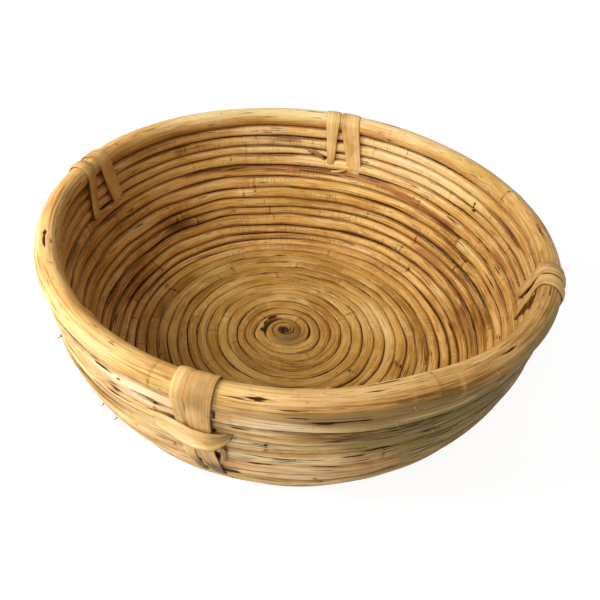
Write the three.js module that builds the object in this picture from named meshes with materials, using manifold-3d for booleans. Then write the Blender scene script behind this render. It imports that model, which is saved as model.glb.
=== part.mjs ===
// A round bowl of coiled rattan cane, in millimetres, +Z up.
// The origin is on the bowl's axis, on the plane that it rests on.
// One cane after another winds out from the centre of the floor and up the wall.
// A thicker hoop closes the mouth, peel lashings bind it down, and hidden nails pin each turn to the next.
import * as THREE from 'three';
import { mergeVertices } from 'three/addons/utils/BufferGeometryUtils.js';
import Module from 'manifold-3d';

const wasm = await Module();
wasm.setup();

// The bowl
const BOWL_HEIGHT = 106;
const MOUTH_RADIUS = 144; // centre line of the rim cane
const FLOOR_RADIUS = 92.7; // the flat floor, out to the foot of the wall
const WALL_FULLNESS = 2.15; // 2 is an ellipse, and more is fuller at the foot
const FLOOR_SHIFT_X = -5.3; // the handmade spiral starts a little left of the middle

// The canes
const FLOOR_CANE_DIAMETER = 6.65;
const WALL_CANE_DIAMETER = 7.55;
const RIM_DIAMETER = 12.6;
const TURN_GAP = 0.5; // between one turn and the next
const BUTT_GAP = 0.4; // between the ends of two canes
const RIDGE_SHARE = 1.04; // a section's ridge stands this share of its half width from the middle
const FLAT_SHARE = 0.1; // the underside is flat to this share of the floor cane's diameter
const SPIRAL_START = 0.35; // in turns, which leaves the small hole in the middle
const FLOOR_CANES = 2;
const WALL_CANES = 5;

// The wall's turns run level, and each climbs to the next within a short ramp
const RAMP_DEGREES = 60;
const LEVELLING_TURNS = 8; // the even spiral of the floor turns into level courses over this many
const TAIL_STOP = 0.25; // the last cane's shaved tail ends this share of the ramp early

// The lashings: the azimuth of their middle, the courses they bind, and which way they slant inside
const LASHINGS = [
  ['lashing_front', 254, 7, -1],
  ['lashing_right', 345, 4, 1],
  ['lashing_back', 441.5, 4, 1],
  ['lashing_left', 524.2, 4, -1],
];
const FACET_DEGREES = 15;
const COARSE_TURNS = 6; // near the middle of the floor every other facet edge is left out
const STRAP_WIDTH = 10.2;
const STRAP_THICKNESS = 0.9;
const STRAP_GAP = 0.9; // between a lashing's two straps
const SEAT_GAP = 0.3; // between pieces that touch
const CIRCLE_SAMPLES = 12;
const STRAP_ROUNDS = 2;

// The splice of the rim, cut slantwise from the outside to the inside
const SPLICE_OUTER_DEGREES = 312;
const SPLICE_INNER_DEGREES = 287;

// The nails
const NAIL_DIAMETER = 1.4;
const NAIL_HEAD_DIAMETER = 2.8;
const NAIL_HEAD_DEPTH = 1.2; // the head is a cone that sinks into the cane
const NAIL_POINT = 2;
const NAIL_SIDES = 5;
const COURSE_NAIL_LENGTH = 19;
const RIM_NAIL_LENGTH = 25;
const NAILS_PER_TIER = 2;
const FIRST_NAILED_COURSE = 3;
const COURSES_PER_TIER = 2;
const TIER_PHASES = [0.15, 0.32]; // in turns, for every other tier
const RIM_NAILS = [
  ['rim_nail_left', 198.5],
  ['rim_nail_front', 265],
  ['rim_nail_splice', 311.5],
];

const RIM_SIDES = 8;
const SHORTEST_FACET_SHARE = 0.1; // of a whole facet, next to a cane's end
const TURN = 360;
const HALF_TURN = 0.5;
const STRAIGHT_ENOUGH = 1e-3; // square millimetres off a straight line
const X = new THREE.Vector3(1, 0, 0);
const Y = new THREE.Vector3(0, 1, 0);
const Z = new THREE.Vector3(0, 0, 1);
const radians = THREE.MathUtils.degToRad;

// Heights and radii that follow from the sizes above
const floorLevel = (FLOOR_CANE_DIAMETER / 2) * RIDGE_SHARE - FLOOR_CANE_DIAMETER * FLAT_SHARE;
const rimLevel = BOWL_HEIGHT - RIM_DIAMETER / 2;
const wallTop = BOWL_HEIGHT - RIM_DIAMETER - TURN_GAP / 2;
const rimCorner = RIM_DIAMETER / 2 / Math.cos(Math.PI / RIM_SIDES);

// The wall's curve is a quarter of a superellipse, measured off along its length
const PROFILE_STEPS = 400;
const profile = [];
for (let step = 0; step <= PROFILE_STEPS; step += 1) {
  const angle = (step / PROFILE_STEPS) * (Math.PI / 2);
  const out = Math.sin(angle) ** (2 / WALL_FULLNESS);
  const up = 1 - Math.max(Math.cos(angle), 0) ** (2 / WALL_FULLNESS);
  const radius = FLOOR_RADIUS + (MOUTH_RADIUS - FLOOR_RADIUS) * out;
  profile.push(new THREE.Vector2(radius, floorLevel + (wallTop - floorLevel) * up));
}
const wallLengths = [0];
for (let step = 1; step <= PROFILE_STEPS; step += 1) {
  wallLengths.push(wallLengths[step - 1] + profile[step].distanceTo(profile[step - 1]));
}
const wallLength = wallLengths[PROFILE_STEPS];
const floorTurns = Math.round(FLOOR_RADIUS / (FLOOR_CANE_DIAMETER + TURN_GAP));
const wallTurns = Math.round(wallLength / (WALL_CANE_DIAMETER + TURN_GAP));
const turns = floorTurns + wallTurns;

function wallPoint(length) {
  const next = Math.max(1, wallLengths.findIndex((reached) => reached >= length));
  const share = (length - wallLengths[next - 1]) / (wallLengths[next] - wallLengths[next - 1]);
  return profile[next - 1].clone().lerp(profile[next], share);
}

// Every turn has the same facets, with one flat facet at each lashing
const startDegrees = LASHINGS[0][1] - FACET_DEGREES / 2;
const facetShares = [];
LASHINGS.forEach(([, azimuth], index) => {
  const from = azimuth - FACET_DEGREES / 2;
  const nextAzimuth = index + 1 < LASHINGS.length ? LASHINGS[index + 1][1] : LASHINGS[0][1] + TURN;
  const span = nextAzimuth - azimuth - FACET_DEGREES;
  const steps = Math.round(span / FACET_DEGREES);
  facetShares.push((from - startDegrees) / TURN);
  for (let step = 0; step < steps; step += 1) {
    facetShares.push((from + FACET_DEGREES + (span * step) / steps - startDegrees) / TURN);
  }
});
facetShares.push(1);
const coarseShares = facetShares.filter((share, index) => index % 2 === 0);

function sharesAt(whole) {
  return whole < COARSE_TURNS ? coarseShares : facetShares;
}

function shareOf(azimuth) {
  return THREE.MathUtils.euclideanModulo(azimuth - startDegrees, TURN) / TURN;
}

// How many turns have been laid below the groove at a given turn
function grooveCount(turn) {
  const share = turn - Math.floor(turn);
  const rampShare = RAMP_DEGREES / TURN;
  const climbed = THREE.MathUtils.smoothstep(share, 1 - rampShare, 1);
  const levelled = THREE.MathUtils.clamp((turn - floorTurns) / LEVELLING_TURNS, 0, 1);
  return Math.min(turn + levelled * (climbed - share), turns);
}

function groovePoint(turn) {
  const count = grooveCount(turn);
  const azimuth = radians(startDegrees + TURN * turn);
  if (count >= floorTurns) {
    const point = wallPoint(((count - floorTurns) / wallTurns) * wallLength);
    return new THREE.Vector3(point.x * Math.cos(azimuth), point.x * Math.sin(azimuth), point.y);
  }
  const share = count / floorTurns;
  const radius = FLOOR_RADIUS * share;
  const shift = FLOOR_SHIFT_X * (1 - share);
  return new THREE.Vector3(radius * Math.cos(azimuth) + shift, radius * Math.sin(azimuth), floorLevel);
}

// The same groove on the flat facets between the stations
function facetGroove(turn) {
  const whole = Math.floor(turn);
  const share = turn - whole;
  const shares = sharesAt(whole);
  const next = shares.findIndex((reached) => reached > share);
  const from = shares[next - 1];
  const to = shares[next];
  const start = groovePoint(whole + from);
  return start.lerp(groovePoint(whole + to), (share - from) / (to - from));
}

// Directions across the turns and out of the bowl, from one groove towards another
function directions(turn, from, to) {
  const azimuth = radians(startDegrees + TURN * turn);
  const along = new THREE.Vector3(-Math.sin(azimuth), Math.cos(azimuth), 0);
  const side = to.clone().sub(from).normalize();
  return { side, outward: new THREE.Vector3().crossVectors(along, side).normalize() };
}

function grooveFrame(turn) {
  const before = facetGroove(Math.max(turn - 1, turn - Math.floor(turn)));
  const after = facetGroove(Math.min(turn + 1, turns + turn - Math.floor(turn)));
  return { centre: facetGroove(turn), ...directions(turn, before, after) };
}

// A cane fills the room between its own groove and the next one
function courseSection(turn) {
  const low = facetGroove(turn);
  const high = facetGroove(turn + 1);
  const halfWidth = (high.distanceTo(low) - TURN_GAP) / 2;
  return {
    centre: low.clone().lerp(high, 0.5),
    ...directions(turn, low, high),
    halfWidth,
    ridge: halfWidth * RIDGE_SHARE,
  };
}

function framePoint(frame, sideways, outwards) {
  return frame.centre.clone()
    .addScaledVector(frame.side, sideways)
    .addScaledVector(frame.outward, outwards);
}

// Neighbouring turns share a groove's frame, so their facing sides are parallel
function hexagon(turn) {
  const middle = courseSection(turn);
  const low = grooveFrame(turn);
  const high = grooveFrame(turn + 1);
  const { ridge } = middle;
  return [
    framePoint(high, -TURN_GAP / 2, ridge / 2),
    framePoint(middle, 0, ridge),
    framePoint(low, TURN_GAP / 2, ridge / 2),
    framePoint(low, TURN_GAP / 2, -ridge / 2),
    framePoint(middle, 0, -ridge),
    framePoint(high, -TURN_GAP / 2, -ridge / 2),
  ];
}

// A skin over rings of as many points each, closed by flat ends or onto itself
function sweep(rings, closed) {
  const size = rings[0].length;
  const positions = rings.flat().flatMap((point) => [point.x, point.y, point.z]);
  const index = [];
  const bands = closed ? rings.length : rings.length - 1;
  for (let band = 0; band < bands; band += 1) {
    const near = band * size;
    const far = ((band + 1) % rings.length) * size;
    for (let corner = 0; corner < size; corner += 1) {
      const next = (corner + 1) % size;
      index.push(near + corner, near + next, far + corner);
      index.push(near + next, far + next, far + corner);
    }
  }
  if (!closed) {
    const last = (rings.length - 1) * size;
    for (let corner = 1; corner < size - 1; corner += 1) {
      index.push(0, corner + 1, corner);
      index.push(last, last + corner, last + corner + 1);
    }
  }
  const geometry = new THREE.BufferGeometry();
  geometry.setAttribute('position', new THREE.Float32BufferAttribute(positions, 3));
  geometry.setIndex(index);
  return geometry;
}

function toSolid(geometry) {
  const bare = geometry.clone();
  bare.deleteAttribute('normal');
  bare.deleteAttribute('uv');
  const merged = mergeVertices(bare);
  return new wasm.Manifold(new wasm.Mesh({
    numProp: 3,
    vertProperties: new Float32Array(merged.attributes.position.array),
    triVerts: new Uint32Array(merged.index.array),
  }));
}

function cut(geometry, cutters) {
  const solid = cutters.reduce((rest, cutter) => rest.subtract(cutter), toSolid(geometry));
  const result = solid.getMesh();
  const cutGeometry = new THREE.BufferGeometry();
  cutGeometry.setAttribute('position', new THREE.Float32BufferAttribute(result.vertProperties, 3));
  cutGeometry.setIndex(Array.from(result.triVerts));
  return cutGeometry;
}

// Prints the least distance from a ring's points to the long edges that lie at least half a turn further on
function printLeastGap(name, rings, turnAt) {
  let least = Infinity;
  const edge = new THREE.Line3();
  const nearest = new THREE.Vector3();
  rings.forEach((ring, first) => {
    for (let second = first + 1; second < rings.length - 1; second += 1) {
      if (turnAt[second] - turnAt[first] < HALF_TURN) {
        continue;
      }
      for (let corner = 0; corner < ring.length; corner += 1) {
        edge.set(rings[second][corner], rings[second + 1][corner]);
        ring.forEach((point) => {
          edge.closestPointToPoint(point, true, nearest);
          least = Math.min(least, nearest.distanceTo(point));
        });
      }
    }
  });
  console.log(`${name}: least gap to itself ${least.toFixed(2)} mm`);
}

// Nails
function nailGeometry(length, clearance) {
  const shank = NAIL_DIAMETER / 2 + clearance;
  const head = NAIL_HEAD_DIAMETER / 2 + clearance;
  const outline = [
    new THREE.Vector2(0, -length - clearance),
    new THREE.Vector2(shank, -length + NAIL_POINT),
    new THREE.Vector2(shank, -NAIL_HEAD_DEPTH - clearance),
    new THREE.Vector2(head, clearance),
    new THREE.Vector2(0, clearance),
  ];
  return new THREE.LatheGeometry(outline, NAIL_SIDES);
}

// Each nail is driven from the outer side of its first piece, flush, towards the pieces below
function courseNail(name, turn) {
  const first = courseSection(turn);
  const last = courseSection(turn - COURSES_PER_TIER);
  const direction = first.centre.clone().sub(last.centre).normalize();
  const head = framePoint(first, first.halfWidth, 0);
  return { name, head, direction, length: COURSE_NAIL_LENGTH };
}

const nails = [];
for (let course = FIRST_NAILED_COURSE, tier = 0; course < turns - 1; course += COURSES_PER_TIER, tier += 1) {
  for (let count = 0; count < NAILS_PER_TIER; count += 1) {
    const share = (TIER_PHASES[tier % TIER_PHASES.length] + count / NAILS_PER_TIER) % 1;
    nails.push(courseNail(`nail_${tier + 1}_${count + 1}`, course + share));
  }
}
RIM_NAILS.forEach(([name, azimuth]) => {
  const foot = facetGroove(turns + shareOf(azimuth));
  const head = new THREE.Vector3(foot.x, foot.y, BOWL_HEIGHT);
  nails.push({ name, head, direction: Z.clone(), length: RIM_NAIL_LENGTH });
});

function placeNail(object, nail) {
  object.quaternion.setFromUnitVectors(Y, nail.direction);
  object.position.copy(nail.head);
  object.updateMatrix();
}

const holder = new THREE.Object3D();
const nailHoles = nails.map((nail) => {
  placeNail(holder, nail);
  return toSolid(nailGeometry(nail.length, SEAT_GAP).applyMatrix4(holder.matrix));
});

// Lashings: a strap laid twice round the rim and the courses under it, held taut
function lashingFrame([, azimuth, lashedCourses, slanting]) {
  const share = shareOf(azimuth);
  const angle = radians(azimuth);
  const radial = new THREE.Vector3(Math.cos(angle), Math.sin(angle), 0);
  const courses = [];
  for (let course = 1; course <= lashedCourses; course += 1) {
    courses.push(courseSection(turns - course + share));
  }
  return {
    radial,
    slanting,
    along: new THREE.Vector3(-Math.sin(angle), Math.cos(angle), 0),
    rimRadius: facetGroove(turns + share).dot(radial),
    courses,
  };
}

function convexOutline(points) {
  const sorted = [...points].sort((a, b) => a.x - b.x || a.y - b.y);
  const chain = (list) => {
    const kept = [];
    list.forEach((point) => {
      while (kept.length > 1) {
        const a = kept[kept.length - 2];
        const b = kept[kept.length - 1];
        if ((b.x - a.x) * (point.y - a.y) - (b.y - a.y) * (point.x - a.x) > STRAIGHT_ENOUGH) {
          break;
        }
        kept.pop();
      }
      kept.push(point);
    });
    kept.pop();
    return kept;
  };
  return [...chain(sorted), ...chain([...sorted].reverse())];
}

function strapOutline(frame) {
  const offset = SEAT_GAP + STRAP_THICKNESS / 2;
  const rounds = frame.courses.map((section) => ({
    x: section.centre.dot(frame.radial),
    y: section.centre.z,
    reach: Math.hypot(section.halfWidth, section.ridge / 2),
  }));
  rounds.push({ x: frame.rimRadius, y: rimLevel, reach: rimCorner });
  const points = [];
  rounds.forEach(({ x, y, reach }) => {
    const radius = (reach + offset) / Math.cos(Math.PI / CIRCLE_SAMPLES);
    for (let sample = 0; sample < CIRCLE_SAMPLES; sample += 1) {
      const angle = ((sample + 0.5) / CIRCLE_SAMPLES) * Math.PI * 2;
      points.push(new THREE.Vector2(x + radius * Math.cos(angle), y + radius * Math.sin(angle)));
    }
  });
  const outline = convexOutline(points);
  const lowest = outline.reduce((best, point, index) => (point.y < outline[best].y ? index : best), 0);
  return [...outline.slice(lowest), ...outline.slice(0, lowest)];
}

const strapPitch = STRAP_WIDTH + STRAP_GAP;

// The strap goes up the outside, over the rim, and slants to the next place on its way down the inside
function lashingRings(frame) {
  const outline = strapOutline(frame);
  const size = outline.length;
  const top = outline.reduce((best, point, index) => (point.y > outline[best].y ? index : best), 0);
  const pitch = strapPitch * frame.slanting;
  const first = -(STRAP_ROUNDS * pitch) / 2;
  const path = [];
  for (let step = 0; step <= size * STRAP_ROUNDS; step += 1) {
    const corner = step % size;
    const point = outline[corner];
    const before = outline[(corner + size - 1) % size];
    const after = outline[(corner + 1) % size];
    const round = Math.floor(step / size);
    const slant = corner > top ? (outline[top].y - point.y) / (outline[top].y - outline[0].y) : 0;
    const incoming = point.clone().sub(before).normalize();
    const outgoing = after.clone().sub(point).normalize();
    const forward = incoming.clone().add(outgoing).normalize();
    path.push({
      position: new THREE.Vector3()
        .addScaledVector(frame.radial, point.x)
        .addScaledVector(frame.along, first + pitch * (round + slant))
        .addScaledVector(Z, point.y),
      outward: new THREE.Vector3().addScaledVector(frame.radial, forward.y).addScaledVector(Z, -forward.x),
      mitre: 1 / incoming.dot(forward),
    });
  }
  return path.map(({ position, outward, mitre }, step) => {
    const before = path[Math.max(step - 1, 0)].position;
    const after = path[Math.min(step + 1, path.length - 1)].position;
    const forward = after.clone().sub(before).normalize();
    const across = new THREE.Vector3().crossVectors(forward, outward).normalize();
    const half = (STRAP_THICKNESS / 2) * mitre;
    const corners = [[1, 1], [1, -1], [-1, -1], [-1, 1]];
    return corners.map(([sideways, outwards]) => position.clone()
      .addScaledVector(across, (sideways * STRAP_WIDTH) / 2)
      .addScaledVector(outward, outwards * half));
  });
}

// Where a lashing passes between two courses, the lower one is notched
function lashingNotch(frame) {
  const lowest = frame.courses[frame.courses.length - 1];
  const reach = Math.hypot(lowest.halfWidth, lowest.ridge / 2);
  const from = lowest.halfWidth + TURN_GAP / 2;
  const to = (reach + SEAT_GAP + STRAP_THICKNESS) / Math.cos(Math.PI / CIRCLE_SAMPLES) + SEAT_GAP;
  const width = strapPitch * (STRAP_ROUNDS + 1) + STRAP_WIDTH / 2;
  const box = new THREE.BoxGeometry(width, to - from, WALL_CANE_DIAMETER * 2);
  const turned = new THREE.Matrix4().makeBasis(frame.along, lowest.side, lowest.outward);
  turned.setPosition(framePoint(lowest, -(from + to) / 2, 0));
  return toSolid(box.applyMatrix4(turned));
}

// The finish of each kind of piece
const finishes = {
  floor: new THREE.MeshStandardMaterial({ color: 0xb98f4c, roughness: 0.6, metalness: 0 }),
  wall: new THREE.MeshStandardMaterial({ color: 0xc89a58, roughness: 0.6, metalness: 0 }),
  rim: new THREE.MeshStandardMaterial({ color: 0xd2a45c, roughness: 0.55, metalness: 0 }),
  lashing: new THREE.MeshStandardMaterial({ color: 0xc8985e, roughness: 0.5, metalness: 0 }),
  nail: new THREE.MeshStandardMaterial({ color: 0x8f8f90, roughness: 0.4, metalness: 1 }),
};

const bowl = new THREE.Group();

function addPiece(name, geometry, material) {
  const mesh = new THREE.Mesh(geometry, material);
  mesh.name = name;
  bowl.add(mesh);
  return mesh;
}

const frames = LASHINGS.map(lashingFrame);
const belowGround = new THREE.BoxGeometry(MOUTH_RADIUS * 2, MOUTH_RADIUS * 2, FLOOR_CANE_DIAMETER);
belowGround.translate(0, 0, -FLOOR_CANE_DIAMETER / 2);
const caneCutters = [toSolid(belowGround), ...nailHoles, ...frames.map(lashingNotch)];

// A cane of the spiral, from one turn to another
function caneStops(from, to) {
  const stops = [from];
  for (let whole = Math.floor(from); whole <= to; whole += 1) {
    sharesAt(whole).slice(0, -1).forEach((share) => {
      const turn = whole + share;
      const margin = SHORTEST_FACET_SHARE / facetShares.length;
      if (turn > from + margin && turn < to - margin) {
        stops.push(turn);
      }
    });
  }
  stops.push(to);
  return stops;
}

function addCane(name, from, to, material) {
  const stops = caneStops(from, to);
  const rings = stops.map(hexagon);
  addPiece(name, cut(sweep(rings, false), caneCutters), material);
  printLeastGap(name, rings, stops);
}

const joints = [];
for (let count = 1; count <= FLOOR_CANES; count += 1) {
  joints.push((floorTurns * count) / FLOOR_CANES);
}
for (let count = 1; count < WALL_CANES; count += 1) {
  joints.push(floorTurns + (wallTurns * count) / WALL_CANES);
}

function buttShare(turn) {
  const { centre } = courseSection(turn);
  return BUTT_GAP / 2 / (Math.PI * 2 * Math.hypot(centre.x, centre.y));
}

const tailEnd = turns - (TAIL_STOP * RAMP_DEGREES) / TURN;
const starts = [SPIRAL_START, ...joints.map((turn) => turn + buttShare(turn))];
const ends = [...joints.map((turn) => turn - buttShare(turn)), tailEnd];
starts.forEach((from, index) => {
  const inFloor = index < FLOOR_CANES;
  const name = inFloor ? `base_cane_${index + 1}` : `wall_cane_${index + 1 - FLOOR_CANES}`;
  addCane(name, from, ends[index], inFloor ? finishes.floor : finishes.wall);
});

// The rim cane, one hoop cut through at its splice
function rimRings() {
  return facetShares.slice(0, -1).map((share) => {
    const foot = groovePoint(turns + share);
    const out = new THREE.Vector3(foot.x, foot.y, 0).normalize();
    const ring = [];
    for (let corner = 0; corner < RIM_SIDES; corner += 1) {
      const angle = ((corner + 0.5) / RIM_SIDES) * Math.PI * 2;
      ring.push(new THREE.Vector3(foot.x, foot.y, rimLevel)
        .addScaledVector(out, rimCorner * Math.sin(angle))
        .addScaledVector(Z, rimCorner * Math.cos(angle)));
    }
    return ring;
  });
}

function spliceCut() {
  const outer = new THREE.Vector3(MOUTH_RADIUS + rimCorner, 0, rimLevel);
  const inner = new THREE.Vector3(MOUTH_RADIUS - rimCorner, 0, rimLevel);
  outer.applyAxisAngle(Z, radians(SPLICE_OUTER_DEGREES));
  inner.applyAxisAngle(Z, radians(SPLICE_INNER_DEGREES));
  const span = outer.clone().sub(inner);
  const slab = new THREE.BoxGeometry(span.length() + RIM_DIAMETER, BUTT_GAP, RIM_DIAMETER * 2);
  holder.quaternion.setFromUnitVectors(X, span.normalize());
  holder.position.copy(inner).lerp(outer, 0.5);
  holder.updateMatrix();
  return toSolid(slab.applyMatrix4(holder.matrix));
}

addPiece('rim_cane', cut(sweep(rimRings(), true), [spliceCut(), ...nailHoles]), finishes.rim);

LASHINGS.forEach(([name], index) => {
  const rings = lashingRings(frames[index]);
  addPiece(name, sweep(rings, false), finishes.lashing);
  printLeastGap(name, rings, rings.map((ring, step) => (step * STRAP_ROUNDS) / (rings.length - 1)));
});

nails.forEach((nail) => {
  placeNail(addPiece(nail.name, nailGeometry(nail.length, 0), finishes.nail), nail);
});

export default bowl;
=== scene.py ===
# A round bowl of coiled rattan cane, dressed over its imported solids.
# Sizes are in millimetres, as in the part's source, and turned into metres where a mesh is made.
import math
from types import SimpleNamespace

import bpy
import numpy as np
from mathutils import Matrix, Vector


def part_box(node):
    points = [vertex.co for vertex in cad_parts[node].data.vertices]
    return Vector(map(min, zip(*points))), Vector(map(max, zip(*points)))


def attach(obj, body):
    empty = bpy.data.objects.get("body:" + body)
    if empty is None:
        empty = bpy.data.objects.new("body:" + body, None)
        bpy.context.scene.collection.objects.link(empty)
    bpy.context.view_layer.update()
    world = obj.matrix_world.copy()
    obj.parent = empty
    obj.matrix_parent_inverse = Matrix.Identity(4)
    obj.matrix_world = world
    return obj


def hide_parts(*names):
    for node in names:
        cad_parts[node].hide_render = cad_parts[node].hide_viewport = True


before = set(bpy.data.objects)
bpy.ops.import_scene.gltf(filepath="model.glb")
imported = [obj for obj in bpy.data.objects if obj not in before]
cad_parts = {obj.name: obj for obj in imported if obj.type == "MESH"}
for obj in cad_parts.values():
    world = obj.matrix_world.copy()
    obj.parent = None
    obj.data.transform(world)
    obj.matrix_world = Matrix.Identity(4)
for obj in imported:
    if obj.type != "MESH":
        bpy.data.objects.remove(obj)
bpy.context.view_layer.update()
MILLIMETRE = 0.001

# The bowl, as in the part's source
BOWL_HEIGHT = 106
MOUTH_RADIUS = 144
FLOOR_RADIUS = 92.7
WALL_FULLNESS = 2.15
FLOOR_SHIFT_X = -5.3
FLOOR_CANE_DIAMETER = 6.65
WALL_CANE_DIAMETER = 7.55
RIM_DIAMETER = 12.6
TURN_GAP = 0.5
JOINT_GAP = 0.02
JOINT_RADIUS = 110
RIDGE_SHARE = 1.04
FLAT_SHARE = 0.1
FLOOR_CANES = 2
WALL_CANES = 5
RAMP_DEGREES = 60
LEVELLING_TURNS = 8
TAIL_STOP = 0.05
START_DEGREES = 246.5
STRAP_THICKNESS = 0.9
NAIL_DIAMETER = 1.4
NAIL_HEAD_DIAMETER = 2.8
NAIL_HEAD_DEPTH = 1.2
NAIL_POINT = 2
TURN = 360
floor_level = FLOOR_CANE_DIAMETER / 2 * RIDGE_SHARE - FLOOR_CANE_DIAMETER * FLAT_SHARE
rim_level = BOWL_HEIGHT - RIM_DIAMETER / 2
wall_top = BOWL_HEIGHT - RIM_DIAMETER - TURN_GAP / 2

# In the middle of the floor the cane is shaved thin and wound tight round a small pit
CENTRE_START = -2.5
CENTRE_COUNTS = [-2.6, -1.6, -1, 0, 1, 2, 3]
CENTRE_REACHES = [0.1, 0.5, 1.9, 5.0, 9.4, 14.8, 21.4]
CENTRE_HOLE_RADIUS = 0.1
CENTRE_SHIFT_Y = 5.5
CENTRE_SHIFT_RADIUS = 24
PIT_DEPTH = 1.6
PIT_RADIUS = 4.5

# The camera that the photograph was taken with
LENS_PIXELS = 596.8
IMAGE_PIXELS = 600
CAMERA_DISTANCE = 390.3
CAMERA_ELEVATION = 38.83
CAMERA_ROLL = 5.45
TARGET_HEIGHT = 44.8
IMAGE_CENTRE = (295.9, 288.4)
SENSOR_WIDTH = 36

# How far the handmade bowl departs from a true circle and a level rim
OVAL = -1.1
RIM_SWAY = [(2, -0.74, -1.25), (3, -0.57, 0.16)]
UNMOVED_RADIUS = 77

# The courses up the back wall, from the foot
COURSE_WIDTHS = [8.3, 7.1, 6.4, 7.8, 9.2, 6.9, 7.4, 9.0, 8.5, 9.6, 8.5, 6.5, 8.4, 8.0]
BACK_DEGREES = 90

# The third turn of the floor has a corner, where the cane cracked as it was bent
CORNER_DEGREES = 200.8
CORNER_HALF_DEGREES = 28
CORNER_HEIGHT = 1.9
CORNER_TURNS = [1.9, 2.6, 3.2, 5]

INSIDE = -1
OUTSIDE = 1
ON_RIM = 0

# Smooth random lines: a seed, and waves with their lengths and heights in millimetres
COURSE_WAVES = (11, (57, 0.16), (130, 0.24), (210, 0.4), (390, 0.4))
FLOOR_WAVES = (12, (37, 0.16), (61, 0.25), (140, 0.3))
GAP_WAVES = (14, (57, 0.2), (131, 0.2), (290, 0.2))
CLEAN_WAVES = (17, (71, 0.28), (160, 0.3), (330, 0.3))
RIDGE_WAVES = (20, (61, 0.012), (133, 0.02))
DEPTH_WAVES = (30, (83, 0.1), (178, 0.16), (311, 0.2))
TONE_WAVES = (40, (57, 0.03), (140, 0.05), (420, 0.05))
WARMTH_WAVES = (50, (90, 0.04), (310, 0.05))
RIM_SIZE_WAVES = (60, (77, 0.08), (181, 0.12))
RIM_TONE_WAVES = (61, (60, 0.03), (200, 0.04), (450, 0.03))
STRAP_WIDTH_WAVES = (0, (13, 0.01), (29, 0.015), (57, 0.02))
STRAP_RIPPLE_WAVES = (50, (17, 0.05), (37, 0.1))
STRAP_TONE_WAVES = (70, (27, 0.03), (55, 0.05), (110, 0.05))


# The waves of one line, added up: number tells apart the lines of one kind
def waves(line, where, number=0):
    seed, *sizes = line
    chance = np.random.default_rng(seed + number)
    total = np.zeros_like(where, dtype=float)
    for length, height in sizes:
        stretch = chance.uniform(0.85, 1.15)
        phase = chance.uniform(0, 2 * math.pi)
        total += height * np.sin(2 * math.pi * where / (length * stretch) + phase)
    return total


def smooth_step(value, low, high):
    share = np.clip((value - low) / (high - low), 0, 1)
    return share * share * (3 - 2 * share)


def smooth_fall(value, low, high):
    return smooth_step(-value, -high, -low)


def bump(away, half_width):
    return np.exp(-(away / half_width) ** 2)


def unit(vectors):
    return vectors / np.linalg.norm(vectors, axis=-1, keepdims=True)


def summed(steps):
    return np.concatenate([[0], np.cumsum(steps)])


# The level direction that runs round the bowl
def way_round(azimuth):
    return np.stack([-np.sin(azimuth), np.cos(azimuth), np.zeros_like(azimuth)], axis=-1)


# The shorter way round from one azimuth to another, in degrees
def turned(azimuth, middle):
    return (azimuth - middle + TURN / 2) % TURN - TURN / 2


# The wall's curve is a quarter of a superellipse, measured off along its length
quarter = np.linspace(0, math.pi / 2, 401)
curve_out = np.sin(quarter) ** (2 / WALL_FULLNESS)
curve_up = 1 - np.clip(np.cos(quarter), 0, 1) ** (2 / WALL_FULLNESS)
profile_radius = FLOOR_RADIUS + (MOUTH_RADIUS - FLOOR_RADIUS) * curve_out
profile_height = floor_level + (wall_top - floor_level) * curve_up
profile_length = summed(np.hypot(np.diff(profile_radius), np.diff(profile_height)))
wall_length = profile_length[-1]
floor_turns = round(FLOOR_RADIUS / (FLOOR_CANE_DIAMETER + TURN_GAP))
wall_turns = round(wall_length / (WALL_CANE_DIAMETER + TURN_GAP))
turns = floor_turns + wall_turns

# About how far from the axis the turns lie, and the length of cane up to each of them
SAMPLES_PER_TURN = 360
ROUGH_TURNS = [0, floor_turns, floor_turns + 4, turns + 1]
ROUGH_RADII = [3, FLOOR_RADIUS, 130, MOUTH_RADIUS]
table_turns = np.arange(0, (turns + 1) * SAMPLES_PER_TURN + 1) / SAMPLES_PER_TURN


def turn_radius(turn):
    return np.interp(turn, ROUGH_TURNS, ROUGH_RADII)


table_lengths = np.cumsum(turn_radius(table_turns)) * 2 * math.pi / SAMPLES_PER_TURN


def length_at(turn):
    return np.interp(turn, table_turns, table_lengths)


# The length of a part of a turn
def arc(share, turn):
    return share * 2 * math.pi * turn_radius(turn)


def azimuth_of(turn):
    return np.radians(START_DEGREES + TURN * turn)


# How much a turn belongs to the wall: 0 in the floor and 1 in the wall
def wall_share(turn):
    return smooth_step(turn, floor_turns - 1.5, floor_turns + 2)


def corner_shift(turn):
    away = np.abs(turned(np.degrees(azimuth_of(turn)), CORNER_DEGREES))
    fade = np.interp(turn, CORNER_TURNS, [0, 1, 1, 0])
    return CORNER_HEIGHT * np.clip(1 - away / CORNER_HALF_DEGREES, 0, 1) * fade


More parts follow.
